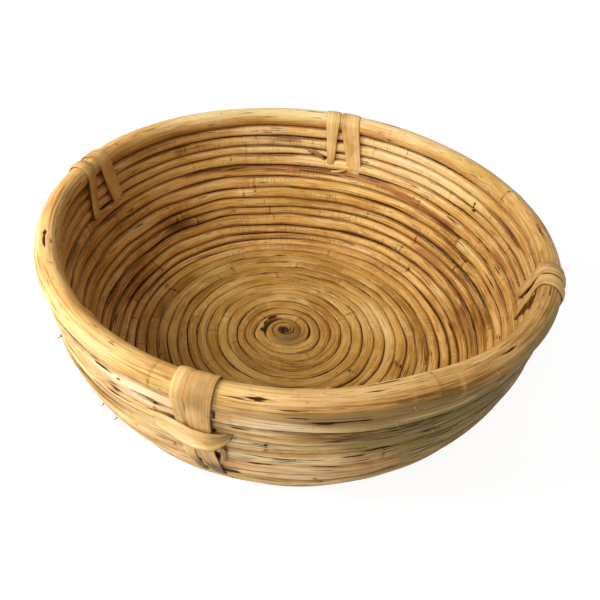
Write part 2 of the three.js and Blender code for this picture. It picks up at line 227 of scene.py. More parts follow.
# How far each groove between two courses lies from its even place
def groove_shifts():
    back_share = (BACK_DEGREES - START_DEGREES) % TURN / TURN
    seen_turns = floor_turns + np.arange(wall_turns) + back_share
    width = np.interp(table_turns, seen_turns, COURSE_WIDTHS)
    width += waves(COURSE_WAVES, table_lengths)
    fade = smooth_step(table_turns, floor_turns, floor_turns + 0.5)
    fade *= smooth_fall(table_turns, turns - 0.5, turns)
    extra = (width - wall_length / wall_turns) * fade
    shift = np.zeros_like(table_turns)
    first = (floor_turns + 1) * SAMPLES_PER_TURN
    for start in range(first, len(shift) - 1, SAMPLES_PER_TURN):
        end = min(start + SAMPLES_PER_TURN, len(shift))
        below = slice(start - SAMPLES_PER_TURN, end - SAMPLES_PER_TURN)
        shift[start:end] = shift[below] + extra[below]
    top = shift[-SAMPLES_PER_TURN - 1:-1]
    climbed = np.clip((table_turns - floor_turns) / wall_turns, 0, 1)
    shift -= climbed * np.resize(top, len(shift))
    shift[-1] = shift[-2]
    floor_part = waves(FLOOR_WAVES, table_lengths)
    floor_part *= smooth_step(table_turns, 0.3, 1.5)
    floor_part *= smooth_fall(table_turns, floor_turns - 1, floor_turns)
    return shift + floor_part + corner_shift(table_turns)


table_shifts = groove_shifts()


def groove_count(turn):
    share = turn - np.floor(turn)
    climbed = smooth_step(share, 1 - RAMP_DEGREES / TURN, 1)
    levelled = np.clip((turn - floor_turns) / LEVELLING_TURNS, 0, 1)
    return np.minimum(turn + levelled * (climbed - share), turns)


# How far out from the middle a groove lies, measured along the floor and up the wall
def groove_reach(turn):
    count = groove_count(turn)
    in_floor = FLOOR_RADIUS * count / floor_turns
    in_floor = np.where(count < CENTRE_COUNTS[-1], np.interp(count, CENTRE_COUNTS, CENTRE_REACHES), in_floor)
    in_wall = FLOOR_RADIUS + (count - floor_turns) / wall_turns * wall_length
    even = np.where(count < floor_turns, in_floor, in_wall)
    return even + np.interp(turn, table_turns, table_shifts)


def surface_point(reach, azimuth):
    climb = reach - FLOOR_RADIUS
    radius = np.where(climb < 0, reach, np.interp(climb, profile_length, profile_radius))
    height = np.where(climb < 0, floor_level, np.interp(climb, profile_length, profile_height))
    shift = FLOOR_SHIFT_X * np.clip(1 - reach / FLOOR_RADIUS, 0, 1)
    shift_y = CENTRE_SHIFT_Y * np.clip(1 - reach / CENTRE_SHIFT_RADIUS, 0, 1)
    return np.stack([radius * np.cos(azimuth) + shift, radius * np.sin(azimuth) + shift_y, height], axis=-1)


# The middle, width and directions of the cane at each turn
def course_frames(turn):
    azimuth = azimuth_of(turn)
    low_reach = np.maximum(groove_reach(turn), CENTRE_HOLE_RADIUS)
    high_reach = groove_reach(turn + 1)
    low = surface_point(low_reach, azimuth)
    high = surface_point(high_reach, azimuth)
    side = unit(high - low)
    outward = np.cross(way_round(azimuth), side)
    half_width = np.linalg.norm(high - low, axis=-1) / 2
    return (low + high) / 2, side, outward, half_width, low_reach, high_reach


# The handmade bowl's departures from the even one, applied to finished points
def handmade(points):
    x, y, z = np.moveaxis(points, -1, 0)
    azimuth = np.arctan2(y, x)
    share = np.clip((np.hypot(x, y) - UNMOVED_RADIUS) / (MOUTH_RADIUS - UNMOVED_RADIUS), 0, 1)
    stretch = 1 + share * OVAL * np.cos(2 * azimuth) / MOUTH_RADIUS
    rise = 0
    for count, across, along in RIM_SWAY:
        rise = rise + (across * np.cos(count * azimuth) + along * np.sin(count * azimuth))
    return np.stack([x * stretch, y * stretch, np.maximum(z + share * rise, 0)], axis=-1)


# Camera
def camera_axes():
    elevation = math.radians(CAMERA_ELEVATION)
    roll = math.radians(CAMERA_ROLL)
    back = np.array([0, -math.cos(elevation), math.sin(elevation)])
    level = np.array([1.0, 0, 0])
    raised = np.cross(back, level)
    right = math.cos(roll) * level + math.sin(roll) * raised
    up = -math.sin(roll) * level + math.cos(roll) * raised
    return right, up, back


def camera_place():
    back = camera_axes()[2]
    return np.array([0, 0, TARGET_HEIGHT]) + back * CAMERA_DISTANCE


# Where points are seen in the photograph, in its pixels
def seen_at(points):
    right, up, back = camera_axes()
    away = points - camera_place()
    depth = -(away @ back)
    x = IMAGE_CENTRE[0] + LENS_PIXELS * (away @ right) / depth
    y = IMAGE_CENTRE[1] - LENS_PIXELS * (away @ up) / depth
    return np.stack([x, y], axis=-1)


def placed_matrix(right, up, back, place):
    matrix = Matrix.Identity(4)
    for row in range(3):
        matrix[row][0] = right[row]
        matrix[row][1] = up[row]
        matrix[row][2] = back[row]
        matrix[row][3] = place[row]
    return matrix


def add_camera():
    data = bpy.data.cameras.new("camera")
    camera = bpy.data.objects.new("camera", data)
    right, up, back = camera_axes()
    camera.matrix_world = placed_matrix(right, up, back, camera_place() * MILLIMETRE)
    data.sensor_width = SENSOR_WIDTH
    data.lens = LENS_PIXELS / IMAGE_PIXELS * SENSOR_WIDTH
    data.shift_x = (IMAGE_PIXELS / 2 - IMAGE_CENTRE[0]) / IMAGE_PIXELS
    data.shift_y = (IMAGE_CENTRE[1] - IMAGE_PIXELS / 2) / IMAGE_PIXELS
    data.clip_start = 0.01
    data.clip_end = 20
    bpy.context.scene.collection.objects.link(camera)
    bpy.context.scene.camera = camera


# Where a pixel of the photograph shows the canes or the rim
GRID_AZIMUTHS = 1440
GRID_STEP = 0.7
GRID_DEGREES = 3
FOOT_REACHES = [FLOOR_RADIUS - 12, FLOOR_RADIUS + 15]


# A point on the skin of the canes: side is INSIDE or OUTSIDE, and lift is above it
def skin_point(side, reach, azimuth, lift=0.0):
    slope = surface_point(reach + 1, azimuth) - surface_point(reach - 1, azimuth)
    outward = np.cross(way_round(azimuth), unit(slope)) * side
    diameter = np.interp(reach, FOOT_REACHES, [FLOOR_CANE_DIAMETER, WALL_CANE_DIAMETER])
    height = np.asarray(diameter / 2 * RIDGE_SHARE + lift)[..., None]
    return surface_point(reach, azimuth) + outward * height, outward


# A point on the skin of the rim: about is 0 outside, a quarter turn on top and half a turn inside
def rim_point(azimuth, about, lift=0.0):
    out = np.stack([np.cos(azimuth), np.sin(azimuth), np.zeros_like(azimuth)], axis=-1)
    outward = out * np.cos(about)[..., None] + np.array([0, 0, 1.0]) * np.sin(about)[..., None]
    centre = out * MOUTH_RADIUS + np.array([0, 0, rim_level])
    return centre + outward * np.asarray(RIM_DIAMETER / 2 + lift)[..., None], outward


def photo_grid(surface):
    azimuth = np.arange(GRID_AZIMUTHS) / GRID_AZIMUTHS * 2 * math.pi
    if surface == ON_RIM:
        across = np.radians(np.arange(-90, 270, GRID_DEGREES))
        across, azimuth = np.meshgrid(across, azimuth, indexing="ij")
        points, outward = rim_point(azimuth, across)
    else:
        across = np.arange(GRID_STEP, FLOOR_RADIUS + wall_length, GRID_STEP)
        across, azimuth = np.meshgrid(across, azimuth, indexing="ij")
        points, outward = skin_point(surface, across, azimuth)
    points = handmade(points)
    facing = np.sum((camera_place() - points) * outward, axis=-1) > 0
    return across[facing], azimuth[facing], seen_at(points)[facing]


photo_grids = {surface: photo_grid(surface) for surface in (INSIDE, OUTSIDE, ON_RIM)}


# The reach, or on the rim the angle about it, and the azimuth, both in degrees, that a pixel shows
def photo_place(surface, pixel):
    across, azimuth, pixels = photo_grids[surface]
    nearest = np.argmin(np.hypot(pixels[:, 0] - pixel[0], pixels[:, 1] - pixel[1]))
    if surface == ON_RIM:
        return math.degrees(across[nearest]), math.degrees(azimuth[nearest])
    return across[nearest], math.degrees(azimuth[nearest])


def nearest_groove(reach, azimuth):
    counts = np.arange(turns + 1) + (azimuth - START_DEGREES) % TURN / TURN
    return counts[np.argmin(np.abs(groove_reach(counts) - reach))]


# Grooves that stand open, by surface: pixel, half length, and how far the canes below and above draw back
OPEN_GROOVES = {
    INSIDE: [
        (265, 322, 11, 1.7, 1.5), (307, 330, 9, 0.6, 0.3), (437, 250, 52, 1.5, 0.3),
        (330, 146, 30, 0.5, 0.4), (230, 243, 60, 0.5, 0.3), (350, 235, 50, 0.6, 0.3),
        (430, 300, 34, 0.9, 0.4), (180, 230, 40, 0.7, 0.3), (140, 290, 40, 0.7, 0.3),
        (104, 207, 9, 1.5, 0.8),
    ],
    OUTSIDE: [
        (470, 417, 16, 1, 0.5), (430, 424, 34, 0.5, 0.2), (450, 435, 40, 0.6, 0.3),
        (322, 424, 6, 1.2, 0.4), (152, 402, 8, 0.8, 0.5), (110, 373, 15, 0.7, 0.4),
    ],
}
MOST_CLEAN = 0.12

# How far a cane draws back from a groove in millimetres: the least, and how much that wanders
INSIDE_GAP = 0.1
INSIDE_GAP_WANDER = 0.22
OUTSIDE_GAP = 0.04
OUTSIDE_GAP_WANDER = 0.2
FLOOR_GAP_SHARE = 0.8
WALL_GAP_MORE = 0.7
open_grooves = []
for surface, rows in OPEN_GROOVES.items():
    for x, y, *sizes in rows:
        open_grooves.append((surface, nearest_groove(*photo_place(surface, (x, y))), *sizes))


# How far the canes below and above a groove draw back from it on one side of the wall
def groove_gaps(turn, side):
    ease = 0.5 + waves(GAP_WAVES, length_at(turn), side)
    if side == INSIDE:
        base = INSIDE_GAP + INSIDE_GAP_WANDER * ease
        base = base * (FLOOR_GAP_SHARE + WALL_GAP_MORE * wall_share(turn))
    else:
        base = OUTSIDE_GAP + OUTSIDE_GAP_WANDER * ease
    base = base * smooth_step(turn, CENTRE_START, 1)
    gaps = np.stack([base, base])
    for surface, middle, half_length, *drawn in open_grooves:
        if surface == side:
            gaps += np.outer(drawn, bump(arc(turn - middle, turn), half_length))
    return gaps


# How clean a groove is: where this is high, it shows as a faint line
def groove_cleanness(turn, side):
    clean = 0.5 + waves(CLEAN_WAVES, length_at(turn), side)
    for surface, middle, half_length, low, high in open_grooves:
        if surface == side:
            clean = clean - bump(arc(turn - middle, turn), half_length)
    return MOST_CLEAN * np.clip(clean, 0, 1)


# Light: a soft box near the bowl at its left, and a broad light from the front.
# Each lamp has its azimuth and elevation in degrees, its distance in metres and its power.
KEY_LAMP = (203, 34, 0.5, 2.4)
FILL_LAMP = (250, 42, 1, 1.1)
KEY_SIZE = 0.34
FILL_DEGREES = 28
LAMP_AIM = np.array([0, 0, 0.06])
WORLD_POWER = 0.26


def add_lamp(name, kind, azimuth, elevation, distance, power):
    data = bpy.data.lights.new(name, kind)
    data.energy = power
    if kind == "AREA":
        data.shape = "DISK"
        data.size = KEY_SIZE
    else:
        data.angle = math.radians(FILL_DEGREES)
    lamp = bpy.data.objects.new(name, data)
    a = math.radians(azimuth)
    e = math.radians(elevation)
    back = np.array([math.cos(a) * math.cos(e), math.sin(a) * math.cos(e), math.sin(e)])
    right = unit(np.cross([0, 0, 1.0], back))
    lamp.matrix_world = placed_matrix(right, np.cross(back, right), back, LAMP_AIM + back * distance)
    bpy.context.scene.collection.objects.link(lamp)


# White where the camera looks past the bowl, and dimmer as a light on it
def add_world():
    graph = Graph(bpy.data.worlds.new("studio"), "Background", "OutputWorld")
    rays = graph.node("LightPath", {})
    seen = graph.math("MAXIMUM", rays["Is Camera Ray"], rays["Is Glossy Ray"])
    seen = graph.math("MAXIMUM", seen, rays["Is Transmission Ray"])
    graph.set("Color", (1, 1, 1, 1))
    graph.set("Strength", graph.span(seen, 0, 1, WORLD_POWER, 1))
    bpy.context.scene.world = graph.owner


# The floor that the bowl stands on: white where it is lit, and a pale grey in the bowl's shadow
FLOOR_SIZE = 8
FLOOR_COLOUR = (0.8, 0.8, 0.8, 1)
SHADOW_SHARE = 0.4
FLOOR_GLOW = 0.8


def add_floor():
    bpy.ops.mesh.primitive_grid_add(size=FLOOR_SIZE, x_subdivisions=4, y_subdivisions=4)
    floor = bpy.context.object
    floor.name = "studio_floor"
    graph = material_graph("studio floor")
    seen = graph.node("LightPath", {})["Is Camera Ray"]
    shown = (SHADOW_SHARE, SHADOW_SHARE, SHADOW_SHARE, 1)
    graph.set("Base Color", graph.mix(seen, FLOOR_COLOUR, shown))
    graph.set("Emission Strength", graph.times(seen, FLOOR_GLOW))
    graph.set("Emission Color", (1, 1, 1, 1))
    graph.set("Roughness", 0.9)
    graph.set("Specular IOR Level", 0.0)
    floor.data.materials.append(graph.owner)


# Materials
def colour(*rgb):
    shares = np.array(rgb) / 255
    linear = np.where(shares <= 0.04045, shares / 12.92, ((shares + 0.055) / 1.055) ** 2.4)
    return (*linear.tolist(), 1)


def shade_stops(places, colours):
    return [(place, colour(*rgb)) for place, rgb in zip(places, colours)]


# A small helper that adds nodes to a material or a world and links them
class Graph:
    def __init__(self, owner, shader, output):
        owner.use_nodes = True
        self.owner = owner
        self.nodes = owner.node_tree.nodes
        self.links = owner.node_tree.links
        self.nodes.clear()
        self.shader = self.nodes.new("ShaderNode" + shader)
        self.node(output, {"Surface": self.shader.outputs[0]})

    def put(self, socket, value):
        if isinstance(value, bpy.types.NodeSocket):
            self.links.new(value, socket)
        else:
            socket.default_value = value

    def set(self, name, value):
        self.put(self.shader.inputs[name], value)

    # The outputs of a new node, with its inputs by name or number, and its settings
    def node(self, kind, inputs, **settings):
        node = self.nodes.new("ShaderNode" + kind)
        for name, value in settings.items():
            setattr(node, name, value)
        for name, value in inputs.items():
            self.put(node.inputs[name], value)
        return node.outputs

    def attribute(self, name):
        return self.node("Attribute", {}, attribute_name=name)["Fac"]

    # Noise along the grain: its cells are so many millimetres wide and long
    def grain(self, wide, long, shift=0.0, detail=2, roughness=0.5):
        strip = self.node("UVMap", {}, uv_map="strip")[0]
        scale = (1 / (wide * MILLIMETRE), 1 / (long * MILLIMETRE), 1)
        place = (shift, shift * 0.7, shift * 0.3)
        vector = self.node("Mapping", {"Vector": strip, "Scale": scale, "Location": place})[0]
        return self.noise(vector, detail, roughness)

    def noise(self, vector, detail=2, roughness=0.5, scale=1):
        inputs = {"Vector": vector, "Scale": scale, "Detail": detail, "Roughness": roughness}
        return self.node("TexNoise", inputs)["Fac"]

    def math(self, operation, *values):
        return self.node("Math", dict(enumerate(values)), operation=operation)[0]

    def times(self, first, second):
        return self.math("MULTIPLY", first, second)

    def minus(self, first, second):
        return self.math("SUBTRACT", first, second)

    def away(self, value, middle):
        return self.math("ABSOLUTE", self.minus(value, middle))

    # The sum of several values, each times its weight
    def blend(self, start, *terms):
        total = start
        for value, weight in terms:
            total = self.math("MULTIPLY_ADD", value, weight, total)
        return total

    def span(self, value, low, high, to_low=0.0, to_high=1.0):
        names = ("Value", "From Min", "From Max", "To Min", "To Max")
        inputs = dict(zip(names, (value, low, high, to_low, to_high)))
        return self.node("MapRange", inputs, interpolation_type="SMOOTHSTEP")["Result"]

    def ramp(self, value, stops):
        node = self.nodes.new("ShaderNodeValToRGB")
        elements = node.color_ramp.elements
        while len(elements) < len(stops):
            elements.new(0.5)
        for element, (place, shade) in zip(elements, stops):
            element.position = place
            element.color = shade
        self.put(node.inputs["Fac"], value)
        return node.outputs["Color"]

    def mix(self, share, first, second, blend="MIX"):
        inputs = {"Factor": share, 6: first, 7: second}
        return self.node("Mix", inputs, data_type="RGBA", blend_type=blend)[2]

    def bump(self, height, strength, distance):
        return self.node("Bump", {"Height": height, "Strength": strength, "Distance": distance})[0]


def material_graph(name):
    return Graph(bpy.data.materials.new(name), "BsdfPrincipled", "OutputMaterial")


CANE_STOPS = (0, 0.26, 0.5, 0.74, 1)
WALL_RGB = [(92, 52, 10), (158, 106, 38), (210, 158, 80), (236, 190, 114), (252, 222, 160)]
FLOOR_RGB = [(82, 50, 8), (144, 99, 28), (196, 146, 66), (226, 180, 100), (246, 214, 148)]
OUTSIDE_RGB = [(96, 66, 28), (166, 122, 66), (220, 174, 110), (245, 203, 144), (254, 228, 184)]
WALL_SHADES = shade_stops(CANE_STOPS, WALL_RGB)
FLOOR_SHADES = shade_stops(CANE_STOPS, FLOOR_RGB)
OUTSIDE_SHADES = shade_stops(CANE_STOPS, OUTSIDE_RGB)
# The dark of the grooves: dirt, and painted shadow where the gaps fall in shade
GROOVE_DIRT_AND_SHADOW = colour(64, 34, 7)
STAIN_SHADE = colour(72, 38, 10)
RED_SHADE = colour(156, 84, 40)
# A dark olive grey: on the right of the outside its darkness is painted shade
GREY_SHADE = colour(140, 118, 68)
OLIVE_TINT = colour(240, 242, 206)
PINK_TINT = colour(255, 238, 226)
# Tints of the painted shade toward the grooves, inside and outside the bowl
GROOVE_SHADING_TINT = colour(186, 140, 92)
GROOVE_SHADING_OUTSIDE = colour(176, 150, 112)
BARK_SHADE = colour(110, 60, 22)

# The noises in the look of a cane: width and length of their cells, shift, detail and roughness
CANE_GRAINS = {
    "blotch": (17, 42, 0.0, 3, 0.55),
    "patch": (30, 90, 6.4, 2, 0.5),
    "streak": (1.5, 60, 3.7, 3, 0.6),
    "fibre": (0.7, 20, 9.1, 2, 0.55),
    "split": (2.6, 150, 5.3, 1, 0.4),
    "speck": (1.1, 3.2, 1.3, 2, 0.5),
    "tick": (6, 0.8, 7.9, 1, 0.5),
    "worn": (9, 60, 2.2, 2, 0.5),
}
CANE_LAYERS = ("tone", "groove", "stain", "reddish", "grey", "outer")

# How the canes differ: where the dirt and painted shadow of a groove begin, the strength of the painted
# shade toward the grooves and of the painted highlights on the edges, where bark begins,
# the strength of ticks and of splits, and how streaky the tone is
FLOOR_LOOK = SimpleNamespace(shades=FLOOR_SHADES, groove_from=1.03, groove_shading=0.45, edge_highlight=1.0,
                             bark_from=1.3, ticks=0.3, splits=0.45, streaks=0.8)
WALL_LOOK = SimpleNamespace(shades=WALL_SHADES, groove_from=1.03, groove_shading=0.6, edge_highlight=0.5,
                            bark_from=1.18, ticks=0.42, splits=0.65, streaks=1.1)
RIM_LOOK = SimpleNamespace(shades=WALL_SHADES, groove_from=2.14, groove_shading=0, edge_highlight=0,
                           bark_from=1.2, ticks=0.1, splits=0.12, streaks=0.65)


# A tone that wanders along the cane, with olive, rosy, reddish and greyish stretches
def cane_tones(graph, grain, look):
    value = graph.blend(grain.tone, (grain.blotch, 0.65), (grain.streak, look.streaks), (grain.fibre, 0.8))
    value = graph.minus(value, 0.695 + look.streaks / 2)
    outside = graph.minus(graph.blend(value, (grain.worn, 1.1), (grain.streak, 0.8)), 0.93)
    shade = graph.mix(grain.outer, graph.ramp(value, look.shades), graph.ramp(outside, OUTSIDE_SHADES))
    shade = graph.mix(graph.span(grain.patch, 0.5, 0.68, 0, 0.5), shade, OLIVE_TINT, "MULTIPLY")
    rosy = graph.times(grain.outer, graph.span(grain.patch, 0.32, 0.48, 0.9, 0))
    shade = graph.mix(rosy, shade, PINK_TINT, "MULTIPLY")
    warm = graph.blend(grain.reddish, (grain.worn, 0.8), (grain.streak, 0.5))
    shade = graph.mix(graph.span(warm, 0.8, 1.15, 0, 0.7), shade, RED_SHADE)
    dull = graph.blend(grain.grey, (grain.worn, -0.5), (grain.streak, 0.8))
    return graph.mix(graph.span(dull, 0.25, 0.8, 0, 0.8), shade, GREY_SHADE)


# Thin dark splits with a pale edge, short ticks across the cane, and specks
def cane_splits(graph, grain, look):
    patchy = graph.span(grain.blotch, 0.42, 0.58)
    pale = graph.times(graph.span(graph.away(grain.split, 0.53), 0.004, 0.018, 0.45, 0), patchy)
    splits = graph.span(graph.away(grain.split, 0.5), 0.003, 0.018, look.splits, 0)
    splits = graph.times(graph.times(splits, patchy), grain.fainter)
    ticks = graph.span(grain.tick, 0.55, 0.68, 0, look.ticks)
    ticks = graph.times(ticks, graph.span(grain.worn, 0.46, 0.58))
    ticks = graph.times(ticks, graph.minus(1.0, grain.outer))
    return pale, splits, ticks, graph.span(grain.speck, 0.7, 0.78, 0, 0.7)


# Painted shade toward the grooves, strips of bark, painted highlights on the edges, and dirt with painted
# shadow in the grooves
def cane_grooves(graph, grain, look, shade):
    ragged = graph.blend(grain.groove, (grain.streak, 0.2), (grain.blotch, 0.2), (grain.fibre, 0.14))
    ragged = graph.blend(ragged, (grain.speck, 0.14))
    begin = look.groove_from
    # Painted shade: the canes darken toward their grooves, as their rounded sides would in shade
    darkened = graph.span(ragged, begin - 0.1, begin + 0.15, 0, look.groove_shading)
    shade = graph.mix(darkened, shade, graph.mix(grain.outer, GROOVE_SHADING_TINT, GROOVE_SHADING_OUTSIDE), "MULTIPLY")
    bark = graph.blend(grain.worn, (grain.streak, 0.9), (grain.groove, 0.3), (grain.outer, -0.16))
    shade = graph.mix(graph.span(bark, look.bark_from, look.bark_from + 0.2, 0, 0.75), shade, BARK_SHADE)
    # Painted highlights: pale lines along the cane edges beside the grooves, where frayed edges catch the
    # light
    highlight = graph.span(ragged, begin + 0.07, begin + 0.15)
    highlight = graph.times(highlight, graph.span(grain.fibre, 0.4, 0.6, 0, look.edge_highlight))
    highlight = graph.times(highlight, graph.span(grain.blotch, 0.4, 0.6, 0.35, 1))
    shade = graph.mix(highlight, shade, look.shades[-1][1])
    # Dirt and painted shadow deep in the grooves
    dirt_and_shadow = graph.times(graph.span(ragged, begin + 0.17, begin + 0.27, 0, 0.88), grain.fainter)
    return graph.mix(dirt_and_shadow, shade, GROOVE_DIRT_AND_SHADOW)


def cane_material(name, look):
    graph = material_graph(name)
    noises = {key: graph.grain(*sizes) for key, sizes in CANE_GRAINS.items()}
    layers = {key: graph.attribute(key) for key in CANE_LAYERS}
    grain = SimpleNamespace(**noises, **layers)
    grain.fainter = graph.span(grain.outer, 0.0, 1.0, 1.0, 0.6)
    pale, splits, ticks, specks = cane_splits(graph, grain, look)
    shade = graph.mix(pale, cane_tones(graph, grain, look), look.shades[-1][1])
    for marked in (splits, ticks, specks):
        shade = graph.mix(marked, shade, STAIN_SHADE)
    shade = cane_grooves(graph, grain, look, shade)
    frayed = graph.blend(grain.stain, (grain.fibre, 2.6), (grain.streak, 1.4))
    frayed = graph.span(graph.minus(frayed, 2.0), 0.38, 0.66)
    graph.set("Base Color", graph.mix(frayed, shade, STAIN_SHADE))
    rough = graph.span(grain.streak, 0.25, 0.75, 0.64, 0.44)
    graph.set("Roughness", graph.math("MAXIMUM", rough, frayed))
    graph.set("Specular IOR Level", 0.2)
    height = graph.blend(grain.streak, (grain.fibre, 0.6), (splits, -0.6), (specks, -0.4), (ticks, -0.3))
    height = graph.blend(height, (frayed, -0.6))
    graph.set("Normal", graph.bump(height, 0.7, 0.0006))
    return graph.owner


# Meshes
def add_piece(name, points, faces, corner_uvs, attributes, material, nodes):
    mesh = bpy.data.meshes.new(name)
    mesh.from_pydata((handmade(points) * MILLIMETRE).tolist(), [], faces)
    mesh.uv_layers.new(name="strip")
    strip = np.asarray(corner_uvs, dtype=np.float32) * MILLIMETRE
    mesh.uv_layers["strip"].data.foreach_set("uv", strip.ravel())
    for key, values in attributes.items():
        layer = mesh.attributes.new(key, "FLOAT", "POINT")
        layer.data.foreach_set("value", np.asarray(values, dtype=np.float32).ravel())
    mesh.shade_smooth()
    mesh.materials.append(material)
    piece = bpy.data.objects.new(name, mesh)
    bpy.context.scene.collection.objects.link(piece)
    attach(piece, "root")
    if nodes:
        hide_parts(*nodes)
    return piece


# The faces of a skin over rings of points, with each corner's place around and along it
def skin(around, along, closed):
    rings, sides = around.shape
    bands = np.arange(rings if closed else rings - 1)[:, None]
    far = (bands + 1) % rings
    far_along = np.where(bands + 1 < rings, along[far], 2 * along[-1] - along[-2])
    lap = np.concatenate([around, 2 * around[:, -1:] - around[:, -2:-1]], axis=1)
    faces = []
    uvs = []
    corners = [(bands, 0, along[bands]), (bands, 1, along[bands]), (far, 1, far_along), (far, 0, far_along)]
    for ring, step, length in corners:
        corner = np.arange(sides)[None, :] + step
        place = lap[ring, corner]
        faces.append(ring * sides + corner % sides)
        uvs.append(np.stack([place, np.broadcast_to(length, place.shape)], axis=-1))
    faces = np.stack(faces, axis=-1).reshape(-1, 4)
    return [tuple(face) for face in faces.tolist()], np.stack(uvs, axis=-2).reshape(-1, 2)


# A skin that is open along, with its two ends
def open_skin(around, along):
    faces, uvs = skin(around, along, False)
    count, sides = around.size, around.shape[1]
    faces.append(tuple(range(sides))[::-1])
    faces.append(tuple(range(count - sides, count)))
    return faces, np.concatenate([uvs, np.zeros((2 * sides, 2))])


# Points round the places of a line, by how far they lie across it and out from it
def points_round(centre, across, outward, across_places, out_places):
    points = centre[:, None, :] + across[:, None, :] * across_places[..., None]
    return points + outward[:, None, :] * out_places[..., None]


# What each kind of mark does: stain, change of tone, reddishness, greyness and depth
MARK_KINDS = {
    "stain": (0.6, -0.1, 0.0, 0.0, 0.0),
    # A pit is a dent painted dark: painted shade in it
    "pit": (2.0, 0.0, 0.0, 0.0, 1.2),
    # A shade mark is painted shade with no dent: in gaps, and beside the straps where their shadow falls
    "shade": (2.2, 0.0, 0.0, 0.0, 0.0),
    "hole": (0.9, 0.0, 0.0, 0.0, 0.7),
    "crack": (0.62, -0.1, 0.0, 0.0, 0.3),
    "ring": (0.42, -0.1, 0.1, 0.0, -0.18),
    "pale": (0.0, 0.3, 0.0, 0.0, 0.0),
    "dark": (0.0, -0.3, 0.0, 0.0, 0.0),
    "red": (0.0, 0.0, 0.55, 0.0, 0.0),
    "grey": (0.0, 0.0, 0.0, 1.0, 0.0),
    "knob": (0.0, 0.1, 0.1, 0.0, -1.0),
}

# Marks seen in the photograph, by surface and kind.
# Each has its pixel, its length along the cane, its width across it and its strength.
INSIDE_MARKS = {
    "pit": [(283, 329, 3, 3, 0.8), (316, 155, 7, 2.2, 1), (324, 158, 3, 3, 0.8)],
    "red": [
        (312, 301, 15, 8, 0.9), (323, 314, 16, 9, 0.9), (331, 330, 22, 7, 0.8), (320, 297, 10, 5, 0.6),
        (114, 216, 5, 4, 1), (428, 256, 30, 6, 1.7), (452, 284, 34, 6, 1.6), (466, 316, 30, 5, 1.4),
        (512, 240, 40, 8, 0.8), (500, 262, 40, 10, 1), (503, 300, 30, 10, 0.9),
    ],
    "stain": [
        (313, 302, 13, 6, 0.6), (327, 319, 22, 6, 0.6), (364, 285, 4, 2.6, 0.9), (395, 362, 3, 4, 0.9),
        (347, 370, 3, 5, 0.7), (234, 210, 4, 4, 0.8), (230, 207, 7, 2, 0.6), (308, 151, 10, 2, 0.5),
        (306, 130, 5, 3, 0.4), (177, 224, 26, 7, 0.85), (120, 270, 60, 50, 0.3),
        (475, 275, 120, 60, 0.27), (465, 203, 7, 3, 0.5), (492, 233, 9, 3, 0.6), (480, 240, 6, 2, 0.5),
        (508, 317, 4, 5, 0.9), (500, 336, 5, 5, 0.8), (487, 262, 24, 2.4, 0.75),
        (493, 285, 28, 2.6, 0.75), (484, 303, 24, 2.4, 0.7), (441, 296, 40, 2, 0.6),
        (452, 330, 30, 2.2, 0.6), (398, 366, 3, 6, 0.9),
    ],
    "hole": [
        (349, 306, 1.2, 1.2, 1), (351, 347, 1.2, 1.2, 1), (265, 272, 1.2, 1, 0.9),
        (322, 331, 1.4, 1.2, 1), (332, 298, 1, 1, 0.9),
    ],
    "ring": [
        (232, 268, 2, 8, 1.6), (185, 149, 1.6, 8, 1.2), (256, 138, 1.4, 6, 0.8),
        (231, 158, 1.4, 7, 1.3), (259, 157, 1.2, 5, 0.9), (255, 190, 1.4, 8, 1.3),
        (289, 218, 1.2, 5, 0.9), (161, 268, 1.6, 8, 1.5), (173, 290, 1.6, 8, 1.5),
        (91, 253, 1.6, 8, 1.2), (135, 317, 1.4, 7, 1.2), (474, 208, 1.8, 8, 1.8),
        (415, 240, 1.6, 8, 1.5), (407, 270, 1.6, 7, 1.5),
    ],
    "crack": [
        (228, 265, 9, 1.2, 1), (300, 345, 12, 1, 0.7), (276, 349, 3, 1.2, 0.8), (255, 241, 5, 1, 0.8),
        (353, 245, 4, 1.2, 0.8), (166, 287, 9, 1.4, 1.2), (430, 352, 10, 1.4, 0.9),
    ],
    # The broad pale marks on the upper back wall and on the right of the floor are painted light
    "pale": [
        (300, 290, 40, 8, 0.4), (380, 325, 70, 26, 0.9), (255, 240, 120, 8, 0.4),
        (243, 191, 16, 7, 0.7), (131, 324, 16, 6, 0.9), (172, 234, 20, 3, 0.5),
        (440, 170, 130, 38, 1.1), (310, 150, 260, 60, 1),
    ],
    "grey": [(286, 334, 26, 26, 0.45), (505, 225, 40, 8, 0.35)],
    # The broad dark mark low on the right wall is painted shade
    "dark": [
        (285, 330, 40, 40, 0.35), (180, 152, 10, 7, 0.7), (268, 190, 18, 7, 0.5),
        (300, 128, 14, 5, 0.6), (178, 226, 50, 16, 1.3), (300, 195, 50, 5, 0.4),
        (150, 300, 60, 40, 0.25), (512, 235, 34, 7, 0.3), (425, 350, 20, 4, 0.6),
        (470, 320, 70, 36, 0.85),
    ],
    "shade": [(272, 316.5, 9, 3.4, 1), (266, 322, 6, 2.6, 1), (263, 329, 6, 3, 1)],
}
